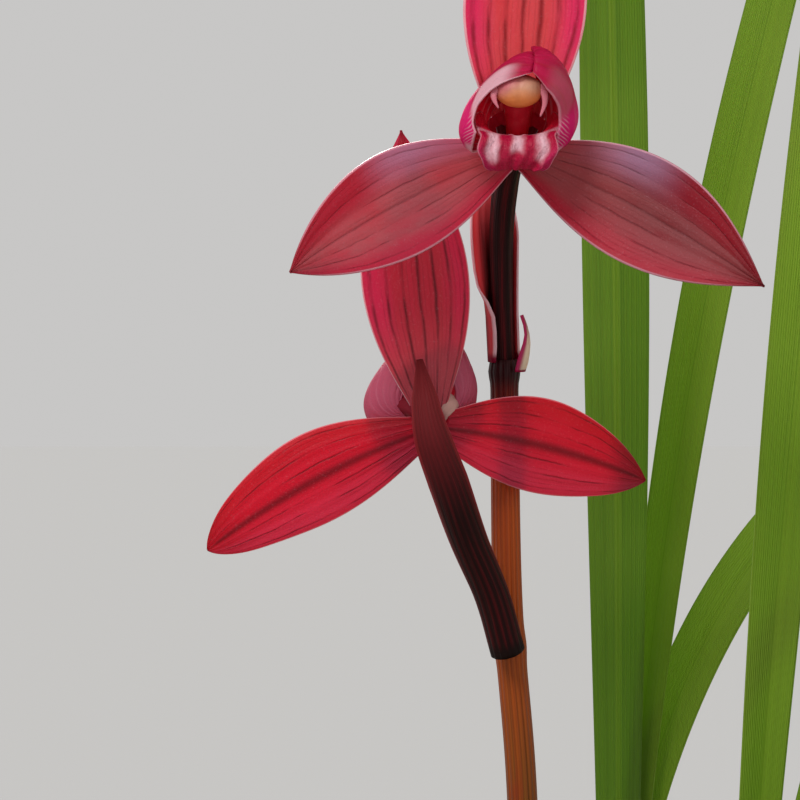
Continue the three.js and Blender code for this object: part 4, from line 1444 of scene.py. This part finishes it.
@dataclass
class Leaves:
    """All strap leaves. Each has a V section, is widest past its middle and pointed at its tip."""

    bulb: Bulb = Bulb()
    thickness: float = 0.62
    foot_share: float = 0.42
    foot_gap: float = 0.3
    spacing: float = 1.8
    widest: float = 0.6
    tip_half: float = 0.3
    fold_foot: float = 42
    fold_tip: float = 13
    ribs: int = 10
    stops: int = 240
    broad: float = 10

    def foot(self, shoot: Shoot, leaf: Leaf) -> Array:
        """Works out where the leaf starts, just over the bulb's shoulder.

        Args:
            shoot: The shoot.
            leaf: The leaf.

        Returns:
            The point.
        """
        along = leaf.step * self.spacing
        height = self.bulb.shoulder(abs(along) - self.spacing / 2) + self.foot_gap
        return np.array([*shoot.place, height]) + heading(shoot.fan) * along

    def surface(self, shoot: Shoot, leaf: Leaf, u: Array, v: Array) -> Array:
        """Works out the leaf's surface.

        The middle line leans from its first lean to its last towards the azimuth. The side direction turns
        with the face, the half width swells to the widest part and closes at the tip, and both halves fold
        up from the middle line.

        Args:
            shoot: The shoot.
            leaf: The leaf.
            u: The share along the leaf.
            v: The place across it from -1 to 1.

        Returns:
            The points.
        """
        first, last, power = leaf.lean
        stops = np.arange(self.stops + 1) / self.stops
        lean = np.radians(lerp(first, last, ((stops[:-1] + stops[1:]) / 2) ** power))
        pace = leaf.length / self.stops
        out, up = (np.concatenate([[0], np.cumsum(way(lean))]) * pace for way in (np.sin, np.cos))
        away = heading(leaf.azimuth)
        point = self.foot(shoot, leaf) + away * np.interp(u, stops, out)[..., None]
        point = point + UP * np.interp(u, stops, up)[..., None]
        now = np.radians(lerp(first, last, np.clip(u, 0, 1) ** power))
        tangent = away * np.sin(now)[..., None] + UP * np.cos(now)[..., None]
        side = across_to(heading(lerp(*leaf.face, smooth(u, 0.1, 0.8)) + 90), tangent)
        inner = np.cross(tangent, side)
        opened = np.minimum(1, u / self.widest)
        swell = lerp(self.foot_share, 1, np.sin(np.pi / 2 * opened) ** 2)
        half = np.maximum(leaf.width / 2 * swell * np.maximum(1 - u**5, 0) ** 0.8, self.tip_half)
        fold = np.radians(lerp(self.fold_foot, self.fold_tip, opened))
        bent = np.sqrt(v * v + 0.004) - 0.0632
        return point + side * (half * v * np.cos(fold))[..., None] + inner * (half * bent * np.sin(fold))[..., None]

    def build(self, finish: Material) -> None:
        """Builds each leaf as a thin blade with low ribs along it. The broad leaf is the darkest.

        Args:
            finish: The finish.
        """
        for shoot in SHOOTS:
            for number, leaf in enumerate(shoot.leaves, 1):
                skin = Skin(f"{shoot.name}_leaf_{number}")
                lightness = 0.0 if leaf.width > self.broad else 0.4 + 0.6 * float(draw(number + shoot.fan))
                skin.blade(
                    partial(self.surface, shoot, leaf),
                    lambda u, v: self.thickness * (1 - 0.5 * np.abs(v) ** 5),
                    lambda u, v: 0.035 * np.cos(np.pi * self.ribs * v) * (1 - u**6),
                    (120, 24), lightness)
                skin.make("leaf", finish)


# Flower stem


@dataclass(frozen=True)
class Bract:
    """A trough round one side of a stalk.

    The half with positive v may have wraps of its own, and a flange that runs out towards its margin.
    """

    path: Path
    facing: float
    wraps: tuple[float, ...]
    radii: tuple[float, ...]
    left_wraps: tuple[float, ...] = ()
    flange: tuple[float, ...] = (0, 0)

    def surface(self, u: Array, v: Array) -> Array:
        """Works out the surface: at the read radius from the path, turned by the read wrap times v.

        Args:
            u: The share along the bract.
            v: The place across it from -1 to 1.

        Returns:
            The points.
        """
        along = self.path.along(u)
        out = across_to(np.broadcast_to(heading(self.facing), along.shape), along)
        side = np.cross(along, out)
        wrap = np.where(v > 0, read_list(self.left_wraps or self.wraps, u), read_list(self.wraps, u))
        turn = np.radians(wrap) * v
        radius = read_list(self.radii, u) + read_list(self.flange, u) * smooth(v, 0.45, 1)
        return self.path.at(u) + out * (radius * np.cos(turn))[..., None] + side * (radius * np.sin(turn))[..., None]


@dataclass
class FlowerStem:
    """The scape with three sheaths round its foot and a scale at its tip."""

    path: Path = Path(((-11.2, -12, 117.3), (-13.4, -12.5, 180), (-15.1, -12.9, 238), (-17, -13.6, 262),
                       (-17.5, -14, 286), (-17.6, -14.2, 297.2)))
    foot: float = 117.3
    rise: float = 180
    radii: tuple[float, ...] = (2.5, 2.4, 2.25, 2.1, 2.05, 1.9)
    sheath_feet: tuple[float, ...] = (131, 166, 200)
    sheath_length: float = 33
    sheath_ring: tuple[float, float] = (0.28, 1.5)
    node_rings: tuple[tuple[float, float, float], ...] = ((295.6, 0.3, 1.2), (257.5, 0.2, 2))
    tip: Bract = Bract(Path(((-17.6, -14.2, 295.6), (-17.6, -14.3, 299.5), (-17.6, -14.6, 303.4))), -20,
                       (38, 36, 30, 21, 11, 6, 4), (2.7, 3.1, 3.3, 3.4, 3.3, 3.0, 2.5))

    def radius(self, share: Array, turn: Array) -> Array:
        """Works out the scape's radius: its list, fine ribs round it and low rings at sheaths and nodes.

        Args:
            share: The share of the scape's length.
            turn: The turn round it in radians.

        Returns:
            The radius in millimetres.
        """
        height = self.foot + self.rise * share
        rings = [*((foot, *self.sheath_ring) for foot in self.sheath_feet), *self.node_rings]
        swell = sum(size * bell(height, middle, width) for middle, size, width in rings)
        return read_list(self.radii, share) + 0.03 * np.cos(14 * turn) + swell

    def sheath(self, number: int, u: Array, v: Array) -> Array:
        """Works out a sheath's surface: round the scape at the foot, opening to a pointed tip.

        Args:
            number: The sheath's number from the lowest up.
            u: The share up the sheath.
            v: The place round it from -1 to 1.

        Returns:
            The points.
        """
        height = self.sheath_feet[number] + self.sheath_length * u
        turn = np.radians(60 + 150 * number) + np.radians(158) * (1 - 0.86 * u**3) * v
        radius = 3.2 + 0.9 * u**2
        middle = self.path.at((height - self.foot) / self.rise)
        x, y = middle[..., 0] + radius * np.cos(turn), middle[..., 1] + radius * np.sin(turn)
        return np.stack([x, y, height + 0 * v], -1)

    def build(self, stem: Material, sheath: Material, scale: Material) -> None:
        """Builds the scape, its sheaths and the scale at its tip.

        Args:
            stem: The scape's finish.
            sheath: The sheaths' finish.
            scale: The scale's finish.
        """
        skin = Skin("scape")
        skin.stalk(self.path, self.radius, (220, 42))
        skin.make("scape", stem)
        for number in range(len(self.sheath_feet)):
            skin = Skin(f"scape_sheath_{number + 1}")
            skin.blade(partial(self.sheath, number), thinning(0.5, 0.25), ribbing(0.05, 9), (48, 72))
            skin.make("sheath", sheath)
        skin = Skin("scape_tip")
        skin.blade(self.tip.surface, thinning(0.5, 0.2), None, (36, 20))
        skin.make("sheath", scale)


# Flowers


@dataclass(frozen=True)
class Sepal:
    """One sepal: the angle at which it leaves the flower's centre, and its form."""

    spin: float
    sweep: tuple[float, float]
    length: float
    width: float
    foot: float
    roll: float
    bow: float
    blunt: float = 0.0

    def surface(self, u: Array, v: Array) -> Array:
        """Works out an arc that sweeps forward, with an oval half width and a rolled section.

        Args:
            u: The share along the sepal.
            v: The place across it from -1 to 1.

        Returns:
            The points in the flower's own frame.
        """
        first, more = np.radians(self.sweep)
        turn = first + more * u
        reach = 1.9 + self.length * (np.sin(turn) - np.sin(first)) / more
        rise = self.length * (np.cos(first) - np.cos(turn)) / more
        power = 1.1 - self.blunt * smooth(u, 0.45, 0.9)
        half = np.maximum(self.width * arch(u) ** power + self.foot * (1 - u) ** 3, 0.14)
        across, lift = rolled(half, self.roll, v)
        across = across + self.bow * arch(u)
        ray = reach - lift * np.sin(turn)
        c, s = np.cos(np.radians(self.spin)), np.sin(np.radians(self.spin))
        return np.stack([c * ray - s * across, s * ray + c * across, rise + lift * np.cos(turn)], -1)


@dataclass(frozen=True)
class PetalForm:
    """A petal of the hood.

    It says the side, where the tip turns to in degrees, how far the petal lifts over the other one, how far its
    front margin closes in degrees from base to tip, and how broad the pale band of that margin is, which is partly a
    painted highlight.
    """

    side: int
    tip_turn: float
    lift: float
    closings: tuple[float, ...]
    pale_and_lit_band: float


class PetalSide(Enum):
    """The two petals of the hood."""

    LEFT = PetalForm(-1, 83, 0.07, (26, 26, 26, 26, 26, 23, 14, 9, 11, 15, 18), 1.0)
    RIGHT = PetalForm(1, 93, 0.17, (24, 24, 24, 24, 24, 24, 24, 26, 28, 27, 22), 0.14)


# The piece mask of each sepal: the place across it of its lower edge, 0 or 1, or 0.5 where neither is lower.
LOWER_EDGES = {"dorsal_sepal": 0.5, "left_sepal": 1.0, "right_sepal": 0.0}


@dataclass(frozen=True)
class Flower:
    """One flower: where it sits, where it faces, and its sepals, stalk and bract.

    Its own frame has the side as X, up as Y and the way it faces as Z, from the flower's centre.
    """

    name: str
    centre: tuple[float, float, float]
    facing: float
    sepals: tuple[tuple[str, Sepal], ...]
    stalk: Path
    stalk_radii: tuple[float, ...]
    bract: Bract
    petal_base: tuple[float, float, float] = (3, 1.4, 1.9)
    hood_centre: tuple[float, float, float] = (0.2, 4.5, 6.5)
    hood_radii: tuple[float, float, float] = (7.5, 7.4, 5)
    lip_line: Path = Path(((0, -2.1, 1.3), (0, -1.1, 3.6), (-0.1, 0.1, 6.4), (-0.3, 1.1, 8.8), (-0.4, 0.3, 10.4),
                           (-0.5, -1.6, 10.5), (-0.5, -3, 9.6)))
    column_line: Path = Path(((0, 0, -0.4), (0, 0.3, 1.2), (0, 2.2, 3.4), (0, 4.9, 4.8), (0, 7, 6.2), (0, 7.4, 7.6)))
    column_radii: tuple[float, ...] = (1.3, 1.35, 1.5, 1.7, 2, 2.2)
    wings: tuple[Path, ...] = (Path(((-2.9, 7.9, 8.9), (-3.5, 6.9, 9.4), (-3.4, 6.0, 9.7), (-2.9, 5.0, 9.8))),
                               Path(((2.6, 8, 8.9), (3.2, 6.9, 9.4), (3.2, 5.6, 9.7), (2.6, 3.9, 9.8))))
    cap_centre: tuple[float, float, float] = (-0.15, 7.4, 8.5)
    cap_size: tuple[float, float, float] = (3.2, 2.15, 2.2)

    def to_model(self, points: Array) -> Array:
        """Moves points from the flower's own frame into the model's.

        Args:
            points: The points, one a row.

        Returns:
            The centre plus the side, the height and the way out, each as far as the point says.
        """
        out = heading(self.facing)
        side = np.array([-out[1], out[0], 0]) * np.sign(-out[1])
        return np.array(self.centre) + points[:, :1] * side + points[:, 1:2] * UP + points[:, 2:] * out

    def petal(self, form: PetalForm, u: Array, v: Array) -> Array:
        """Works out a petal: a patch of the bell-shaped hood, drawn in to the petal's base.

        The patch is an oval that is told by its turn round the hood and its tilt from the hood's back. The
        front margin closes over the opening by a further tilt that grows towards the margin.

        Args:
            form: The petal.
            u: The share along the petal.
            v: The place across it from -1 to 1, with the front margin at 1.

        Returns:
            The points in the flower's own frame.
        """
        base = np.array(self.petal_base) * [form.side, 1, 1]
        half = np.maximum(np.sqrt(np.maximum(arch(u), 0)), lerp(0.12, 0.06, u))
        half = half * np.where(u > 0.5, 1, lerp(0.4, 1, 2 * u))
        reach = np.where(v > 0, 46 - 23 * u, 26 + 44 * u)
        closing = read_list(form.closings, u) * smooth(v, 0.2, 1) * smooth(u, 0.12, 0.35)
        turn = np.radians(lerp(240, form.tip_turn, u) + (36 * v + 11 * v * v) * half)
        tilt = np.radians(lerp(34, 112, u) + reach * half * v + closing + 8 * smooth(u, 0.7, 1))
        across, upward = -form.side * np.cos(turn) * np.sin(tilt), np.sin(turn) * np.sin(tilt)
        out = np.stack([across * (1 - 0.27 * upward), upward, -np.cos(tilt)], -1) * np.array(self.hood_radii)
        out = out * (1 + form.lift * smooth(u, 0.6, 0.9))[..., None] + np.array(self.hood_centre)
        out[..., 0] += 1.5 * upward
        return base + (out - base) * (1 - 0.84 * (1 - u) ** 5)[..., None]

    def tell_sides(self, skin: Skin) -> None:
        """Sets a petal's side mask to 1 on its outer face, the one farther from the hood's middle.

        Args:
            skin: The petal, with one blade.
        """
        first, second = np.split(np.linalg.norm(skin.points[0] - np.array(self.hood_centre), axis=1), 2)
        if first.mean() <= second.mean():
            skin.masks[SIDE_MASK] = [1 - skin.masks[SIDE_MASK][0]]

    def lip(self, u: Array, v: Array) -> Array:
        """Works out the lip: a floor along a bent middle line, its side lobes rolled up, its end bent down.

        Args:
            u: The share along the lip.
            v: The place across it from -1 to 1.

        Returns:
            The points in the flower's own frame.
        """
        point, along = self.lip_line.at(u), self.lip_line.along(u)
        lobes = smooth(u, 0.2, 0.4) * (1 - smooth(u, 0.44, 0.62))
        half = lerp(1.1, 5.3, smooth(u, 0, 0.6)) - 2.0 * np.clip((u - 0.78) / 0.22, 0, 1) ** 2.6 + 3.2 * lobes
        half = half * (1 + 0.05 * np.sin(31 * u + 2) * smooth(u, 0.6, 0.72))
        across, lift = rolled(half, 0.35 + 1.25 * lobes, v)
        move = np.stack([across, along[..., 2] * lift, -along[..., 1] * lift], -1)
        return point + move

    def lip_relief(self, u: Array, v: Array) -> Array:
        """Works out two keels along the floor, and ruffles that grow towards the middle lobe's edge.

        Args:
            u: The share along the lip.
            v: The place across it from -1 to 1.

        Returns:
            The height in millimetres.
        """
        keels = 0.22 * bell(np.abs(v), 0.16, 0.07) * smooth(u, 0.15, 0.3) * (1 - smooth(u, 0.56, 0.66))
        ruffle = 0.3 * np.sin(9.4 * v + 2.2 * np.sin(7 * u)) * (0.35 + 0.65 * np.abs(v))
        return keels + (ruffle + 0.14 * np.sin(17 * v + 21 * u)) * smooth(u, 0.62, 0.8)

    def column(self, skin: Skin) -> None:
        """Adds the column: an arched tube that widens to two wings below its end.

        Args:
            skin: The piece.
        """
        skin.stalk(
            self.column_line,
            lambda s, t: read_list(self.column_radii, s) * (1 + 0.12 * np.cos(2 * t) * smooth(s, 0.4, 0.9)), (60, 32))
        for wing in self.wings:
            skin.stalk(
                wing, lambda s, t: 0.5 * (1 - 0.85 * s**1.3) * (1 + 0.25 * np.cos(2 * t)), (24, 14), draws=1.0)

    def receptacle(self, skin: Skin) -> None:
        """Adds the cup that joins the sepals and petals: a shallow bowl on the stalk's end, wider above.

        Its inner and its outer face rise with the fourth power of the radius.

        Args:
            skin: The piece.
        """
        rows = 22
        share = np.concatenate([np.linspace(0.04, 1, rows), np.linspace(1, 0.04, rows)])[:, None]
        outer = np.repeat([0.0, 1.0], rows)[:, None]
        around = turns(48)[None]
        wide = 2.6 + 2.7 * smooth(np.sin(around), 0.2, 0.55)
        x, y = share * wide * np.cos(around), share * wide * np.sin(around)
        z = 0.15 + 2.3 * share**4 * np.clip(0.5 + np.sin(around), 0.2, 1) - 0.5 * outer * (1 - share**8)
        # The pale share puts a painted glint on one side of the outer face: the tint mask runs from 0.5 to 1 there.
        pale = 0.5 + 0.5 * smooth(np.cos(around), 0.1, 0.6) * smooth(share, 0.2, 0.6)
        tint = np.concatenate([(outer * pale).ravel(), [0.0, 0.5]])
        skin.tube(np.stack([x, y, z], -1), (0, 0, 0.15), (0, 0, -0.35), 1.0, tint)

    def cap(self, skin: Skin) -> None:
        """Adds the anther cap: a low oval dome, a little longer below, with a groove down its middle.

        Args:
            skin: The piece.
        """
        wide, high, deep = self.cap_size
        rise = np.linspace(0, 0.49 * np.pi, 26)[:, None]
        around = turns(56)[None]
        groove = 0.2 * bell(np.cos(around) * np.cos(rise), 0, 0.13) * np.cos(rise - 0.5)
        x = wide * np.cos(rise) * np.cos(around)
        y = high * np.cos(rise) * np.sin(around) * np.where(np.sin(around) < 0, 1.06, 1)
        z = deep * np.sin(rise) + 0 * around - groove
        level = np.concatenate([((y / high + 1) / 2).ravel(), [0.5, 0.5]])
        pinker = np.concatenate([(0.35 - x / wide * 0.45).ravel(), [0.35, 0.35]])
        centre = np.array(self.cap_centre)
        skin.tube(np.stack([x, y, z], -1) + centre, centre, centre + UP * (deep - 0.16), level, pinker)

    def set_in(self, skin: Skin, slot: str, finish: Material) -> None:
        """Moves a piece from the flower's own frame into the model's, and makes it."""
        skin.place(self.to_model)
        skin.make(slot, finish)

    def build(self, finishes: dict[str, Material]) -> None:
        """Builds the flower's ten pieces.

        Args:
            finishes: The finishes by name.
        """
        for part, sepal in self.sepals:
            skin = Skin(f"{self.name}_{part}")
            skin.blade(
                sepal.surface, tapering(0.72), lambda u, v: -0.05 * np.cos(np.pi * 7 * v) * (1 - np.abs(v) ** 4),
                (100, 56), LOWER_EDGES[part])
            self.set_in(skin, "sepal", finishes[skin.node])
        for side in PetalSide:
            skin = Skin(f"{self.name}_{side.name.lower()}_petal")
            skin.blade(partial(self.petal, side.value), tapering(0.62), ribbing(0.03, 9), (84, 64), side.value.pale_and_lit_band)
            self.tell_sides(skin)
            self.set_in(skin, "petal", finishes[f"{self.name}_petal"])
        skin = Skin(f"{self.name}_lip")
        skin.blade(self.lip, tapering(0.7), self.lip_relief, (110, 80))
        self.set_in(skin, "lip", finishes["lip"])
        for part, add in (("column", self.column), ("anther_cap", self.cap)):
            skin = Skin(f"{self.name}_{part}")
            add(skin)
            self.set_in(skin, part, finishes[part])
        skin = Skin(f"{self.name}_pedicel")
        self.receptacle(skin)
        skin.place(self.to_model)
        skin.stalk(
            self.stalk,
            lambda s, t: read_list(self.stalk_radii, s) * (1 + 0.045 * np.cos(6 * t) * smooth(s, 0.1, 0.5)),
            (90, 48), last=0.97)
        skin.make("stalk", finishes["stalk"])
        skin = Skin(f"{self.name}_bract")
        skin.blade(self.bract.surface, thinning(0.5, 0.28), ribbing(0.02, 8), (80, 48))
        skin.make("bract", finishes[skin.node])


UPPER = Flower(
    "upper", (-16.5, -28, 325.8), -88,
    (("dorsal_sepal", Sepal(86.8, (1, 8), 37.5, 8.1, 2.7, 0.45, 0)),
     ("left_sepal", Sepal(208.6, (18, 20), 37.2, 6.9, 2.4, 0.35, -1, 0.15)),
     ("right_sepal", Sepal(329.9, (15, 12), 37.4, 7.2, 2.4, 0.35, 1))),
    Path(((-17.6, -14.3, 296.7), (-17.9, -15.6, 305), (-18.1, -18.2, 314.5), (-17.6, -22, 321.4),
          (-16.6, -27.1, 325.8))),
    (1.4, 1.4, 1.55, 1.7, 1.6),
    Bract(Path(((-17.6, -14.3, 297), (-18, -15.3, 306), (-18.3, -17.6, 315), (-18.6, -19, 322))), 100,
          (105, 105, 105, 104, 96, 60, 10), (2.05, 2.1, 2.3, 2.6, 2.9),
          (132, 140, 142, 138, 118, 88, 84, 84, 84, 80, 70, 40, 10),
          (0, 0, 0, 0, 0.3, 1.1, 1.4, 1.5, 1.5, 1.4, 1.2, 0.6, 0)))
LOWER = Flower(
    "lower", (-27.7, -25, 288.6), 103,
    (("dorsal_sepal", Sepal(95.5, (-2, 10), 38.2, 7.4, 2.3, 0.45, 0)),
     ("left_sepal", Sepal(210.6, (12, 10), 33.4, 6, 2.4, 0.35, -1.4, 0.42)),
     ("right_sepal", Sepal(345.6, (12, 10), 33.8, 6.3, 2.4, 0.35, 1, 0.3))),
    Path(((-16.8, -14.4, 257.5), (-17.3, -17.1, 258), (-19.4, -20.6, 265), (-22.7, -24.4, 273), (-25.3, -28, 280.5),
          (-26.8, -29, 285.5), (-27.5, -25.9, 288.6))),
    (1.45, 1.35, 1.35, 1.4, 1.55, 1.7, 1.6),
    Bract(Path(((-17.2, -17.4, 257.2), (-19.4, -20.6, 265), (-22.7, -24.4, 273), (-25.3, -28, 280.5),
                (-27.9, -29.2, 288), (-29.3, -25.9, 297))), -90,
          (120, 120, 112, 102, 94, 84, 72, 52, 20), (2.2, 2.2, 2.25, 2.35, 2.5, 2.65, 2.6, 2.2, 1.3)))


# Studio


@dataclass(frozen=True)
class Lamp:
    """A far light: the way it shines, the spread of its disc in degrees, its strength and its colour."""

    name: str
    way: tuple[float, float, float]
    spread: float
    strength: float
    colour: tuple[float, float, float]

    def build(self) -> None:
        """Adds the light and turns it along its way."""
        lamp = bpy.data.lights.new(self.name, "SUN")
        lamp.angle, lamp.energy, lamp.color = math.radians(self.spread), self.strength, self.colour
        add_object(self.name, lamp).rotation_euler = Vector(self.way).to_track_quat("-Z", "Y").to_euler()


@dataclass
class Studio:
    """Pale floor, soft lights and the camera, in metres."""

    target: tuple[float, float, float] = (-0.032, -0.026, 0.292)
    distance: float = 0.5
    elevation: float = 2
    frame_width: float = 0.108
    sensor: float = 36
    near_and_far: tuple[float, float] = (0.01, 50)
    floor_reach: float = 6
    floor_height: float = -0.0005
    sky: Colour = (0.90, 0.89, 0.88, 1)
    sky_strength: float = 0.64
    lamps: tuple[Lamp, ...] = (
        Lamp("key", (0.5, 0.72, -0.85), 24, 1.9, (1, 0.97, 0.93)),
        Lamp("back", (0.12, -1, -0.42), 7, 4.2, (1, 0.97, 0.93)),
        Lamp("fill", (-0.7, 0.6, -0.25), 45, 0.35, (0.96, 0.98, 1)))

    def lay_floor(self) -> None:
        """Adds the floor: one square face just under the pot."""
        far, height = self.floor_reach, self.floor_height
        mesh = bpy.data.meshes.new("floor")
        corners = [(-far, -far, height), (far, -far, height), (far, far, height), (-far, far, height)]
        mesh.from_pydata(corners, [], [(0, 1, 2, 3)])
        mesh.materials.append(FloorFinish().make())
        add_object("floor", mesh)

    def light_up(self) -> None:
        """Adds the even light from all round, and the lamps."""
        world = bpy.data.worlds.new("studio")
        world.use_nodes = True
        background = world.node_tree.nodes["Background"]
        background.inputs[0].default_value = self.sky
        background.inputs[1].default_value = self.sky_strength
        bpy.context.scene.world = world
        for lamp in self.lamps:
            lamp.build()

    def aim_camera(self) -> None:
        """Adds the camera: it looks at the target from in front, and the frame's width fits at the target."""
        camera = bpy.data.cameras.new("camera")
        camera.sensor_width = self.sensor
        camera.lens = self.sensor * self.distance / self.frame_width
        camera.clip_start, camera.clip_end = self.near_and_far
        holder = add_object("camera", camera)
        tilt = math.radians(self.elevation)
        x, y, z = self.target
        holder.location = (x, y - self.distance * math.cos(tilt), z + self.distance * math.sin(tilt))
        holder.rotation_euler = (math.radians(90) - tilt, 0, 0)
        bpy.context.scene.camera = holder

    def build(self) -> None:
        """Builds the floor, the lights and the camera, and shows the colours as they are."""
        self.lay_floor()
        self.light_up()
        self.aim_camera()
        bpy.context.scene.view_settings.view_transform = "Standard"


def make_finishes() -> dict[str, Material]:
    """Makes the finishes of the flowers and of the stem's sheaths and scale.

    Returns:
        The materials by name.
    """
    # The lilac here is the colour of the painted sheen by the upper edge of the sepals.
    dusk, sheen_lilac = rgb(70, 8, 16), rgb(176, 136, 170)
    # Each foot_share below says how strongly painted light lightens that sepal's foot, where the hood shades it.
    upper_left = SepalFinish(
        "upper_left_sepal", base=rgb(188, 58, 74), side=rgb(172, 26, 54), low=rgb(200, 40, 74), high=sheen_lilac, vein=dusk,
        bloom=rgb(174, 96, 104), margin=rgb(236, 176, 194), through=rgb(228, 72, 86), bloom_share=0.75,
        margin_share=0.8, vein_share=0.4, painted_sheen_share=0.95, foot_share=0.35, tip_share=0.35, flare_share=1.0,
        vein_width=0.2, unbroken=0.0, glow=0.34)
    upper_dorsal = SepalFinish(
        "upper_dorsal_sepal", base=rgb(204, 60, 72), side=rgb(222, 44, 112), low=rgb(222, 44, 112), high=sheen_lilac,
        vein=rgb(132, 12, 22), bloom=rgb(216, 112, 112), margin=rgb(250, 214, 226), through=rgb(244, 104, 118),
        bloom_share=0.4, margin_share=0.95, vein_share=0.8, rib_share=0.4, foot_share=0.6, deep_share=0.9,
        vein_width=0.5, glow=0.4)
    lower_side = SepalFinish(
        "lower_side_sepal", base=rgb(176, 20, 52), side=rgb(158, 12, 38), low=rgb(216, 64, 100), high=sheen_lilac,
        vein=rgb(66, 4, 12), bloom=rgb(190, 50, 72), margin=rgb(246, 176, 192), through=rgb(244, 50, 82),
        bloom_share=0.3, margin_share=0.75, vein_share=0.62, rib_share=1.0, tip_share=0.45, rib_width=0.16,
        vein_width=0.22, unbroken=0.1).make()
    own = (
        upper_left,
        replace(
            upper_left, name="upper_right_sepal", base=rgb(130, 32, 40), side=rgb(144, 14, 36), low=rgb(190, 34, 62),
            bloom=rgb(152, 84, 88), through=rgb(196, 48, 60), bloom_share=0.5, foot_share=0.95, tip_share=0.45),
        upper_dorsal,
        SepalFinish(
            "lower_dorsal_sepal", base=rgb(158, 38, 60), side=rgb(192, 34, 82), low=rgb(192, 34, 82), high=sheen_lilac,
            vein=dusk, bloom=rgb(192, 76, 88), margin=rgb(248, 204, 216), through=rgb(226, 82, 100), bloom_share=0.3,
            margin_share=0.95, rib_share=0.5, foot_share=0.9, vein_width=0.36, glow=0.4),
        PetalFinish(),
        PetalFinish(
            "lower_petal", outer=rgb(176, 50, 76), deep=rgb(138, 26, 48), lobe=rgb(190, 92, 120),
            stripe=rgb(220, 150, 172), stroke_share=0.2, brim_share=0.55),
        BractFinish(
            "upper_bract", rgb(56, 12, 14), rgb(104, 24, 28), rgb(232, 96, 104), rgb(252, 230, 238), rgb(150, 20, 60),
            glow=0.42),
        BractFinish(
            "lower_bract", rgb(32, 4, 5), rgb(96, 13, 20), rgb(138, 34, 40), rgb(166, 44, 60), rgb(24, 4, 4)),
        BractFinish(
            "stem_sheath", rgb(120, 62, 52), rgb(150, 88, 72), rgb(176, 120, 96), rgb(206, 176, 150),
            rgb(104, 50, 40), count=13),
        BractFinish(
            "tip_scale", rgb(244, 228, 206), rgb(230, 202, 182), rgb(188, 60, 104), rgb(190, 50, 104),
            rgb(160, 24, 70), count=3, glow=0.4))
    return {finish.name: finish.make() for finish in own} | {
        "lower_left_sepal": lower_side, "lower_right_sepal": lower_side, "lip": LipFinish().make(),
        "column": ColumnFinish().make(), "anther_cap": CapFinish().make(), "stalk": StalkFinish().make()}


def main() -> None:
    """Builds every piece, then the studio."""
    logging.basicConfig(level=logging.INFO, format="%(message)s")
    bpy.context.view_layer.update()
    finishes = make_finishes()
    Pot().build(ClayFinish().make())
    PottingMix().build(MixFinish().make())
    Bulbs().build(BulbFinish().make())
    Leaves().build(LeafFinish().make())
    FlowerStem().build(ScapeFinish().make(), finishes["stem_sheath"], finishes["tip_scale"])
    for flower in (UPPER, LOWER):
        flower.build(finishes)
    Studio().build()
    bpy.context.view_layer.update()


if __name__ == "__main__":
    main()
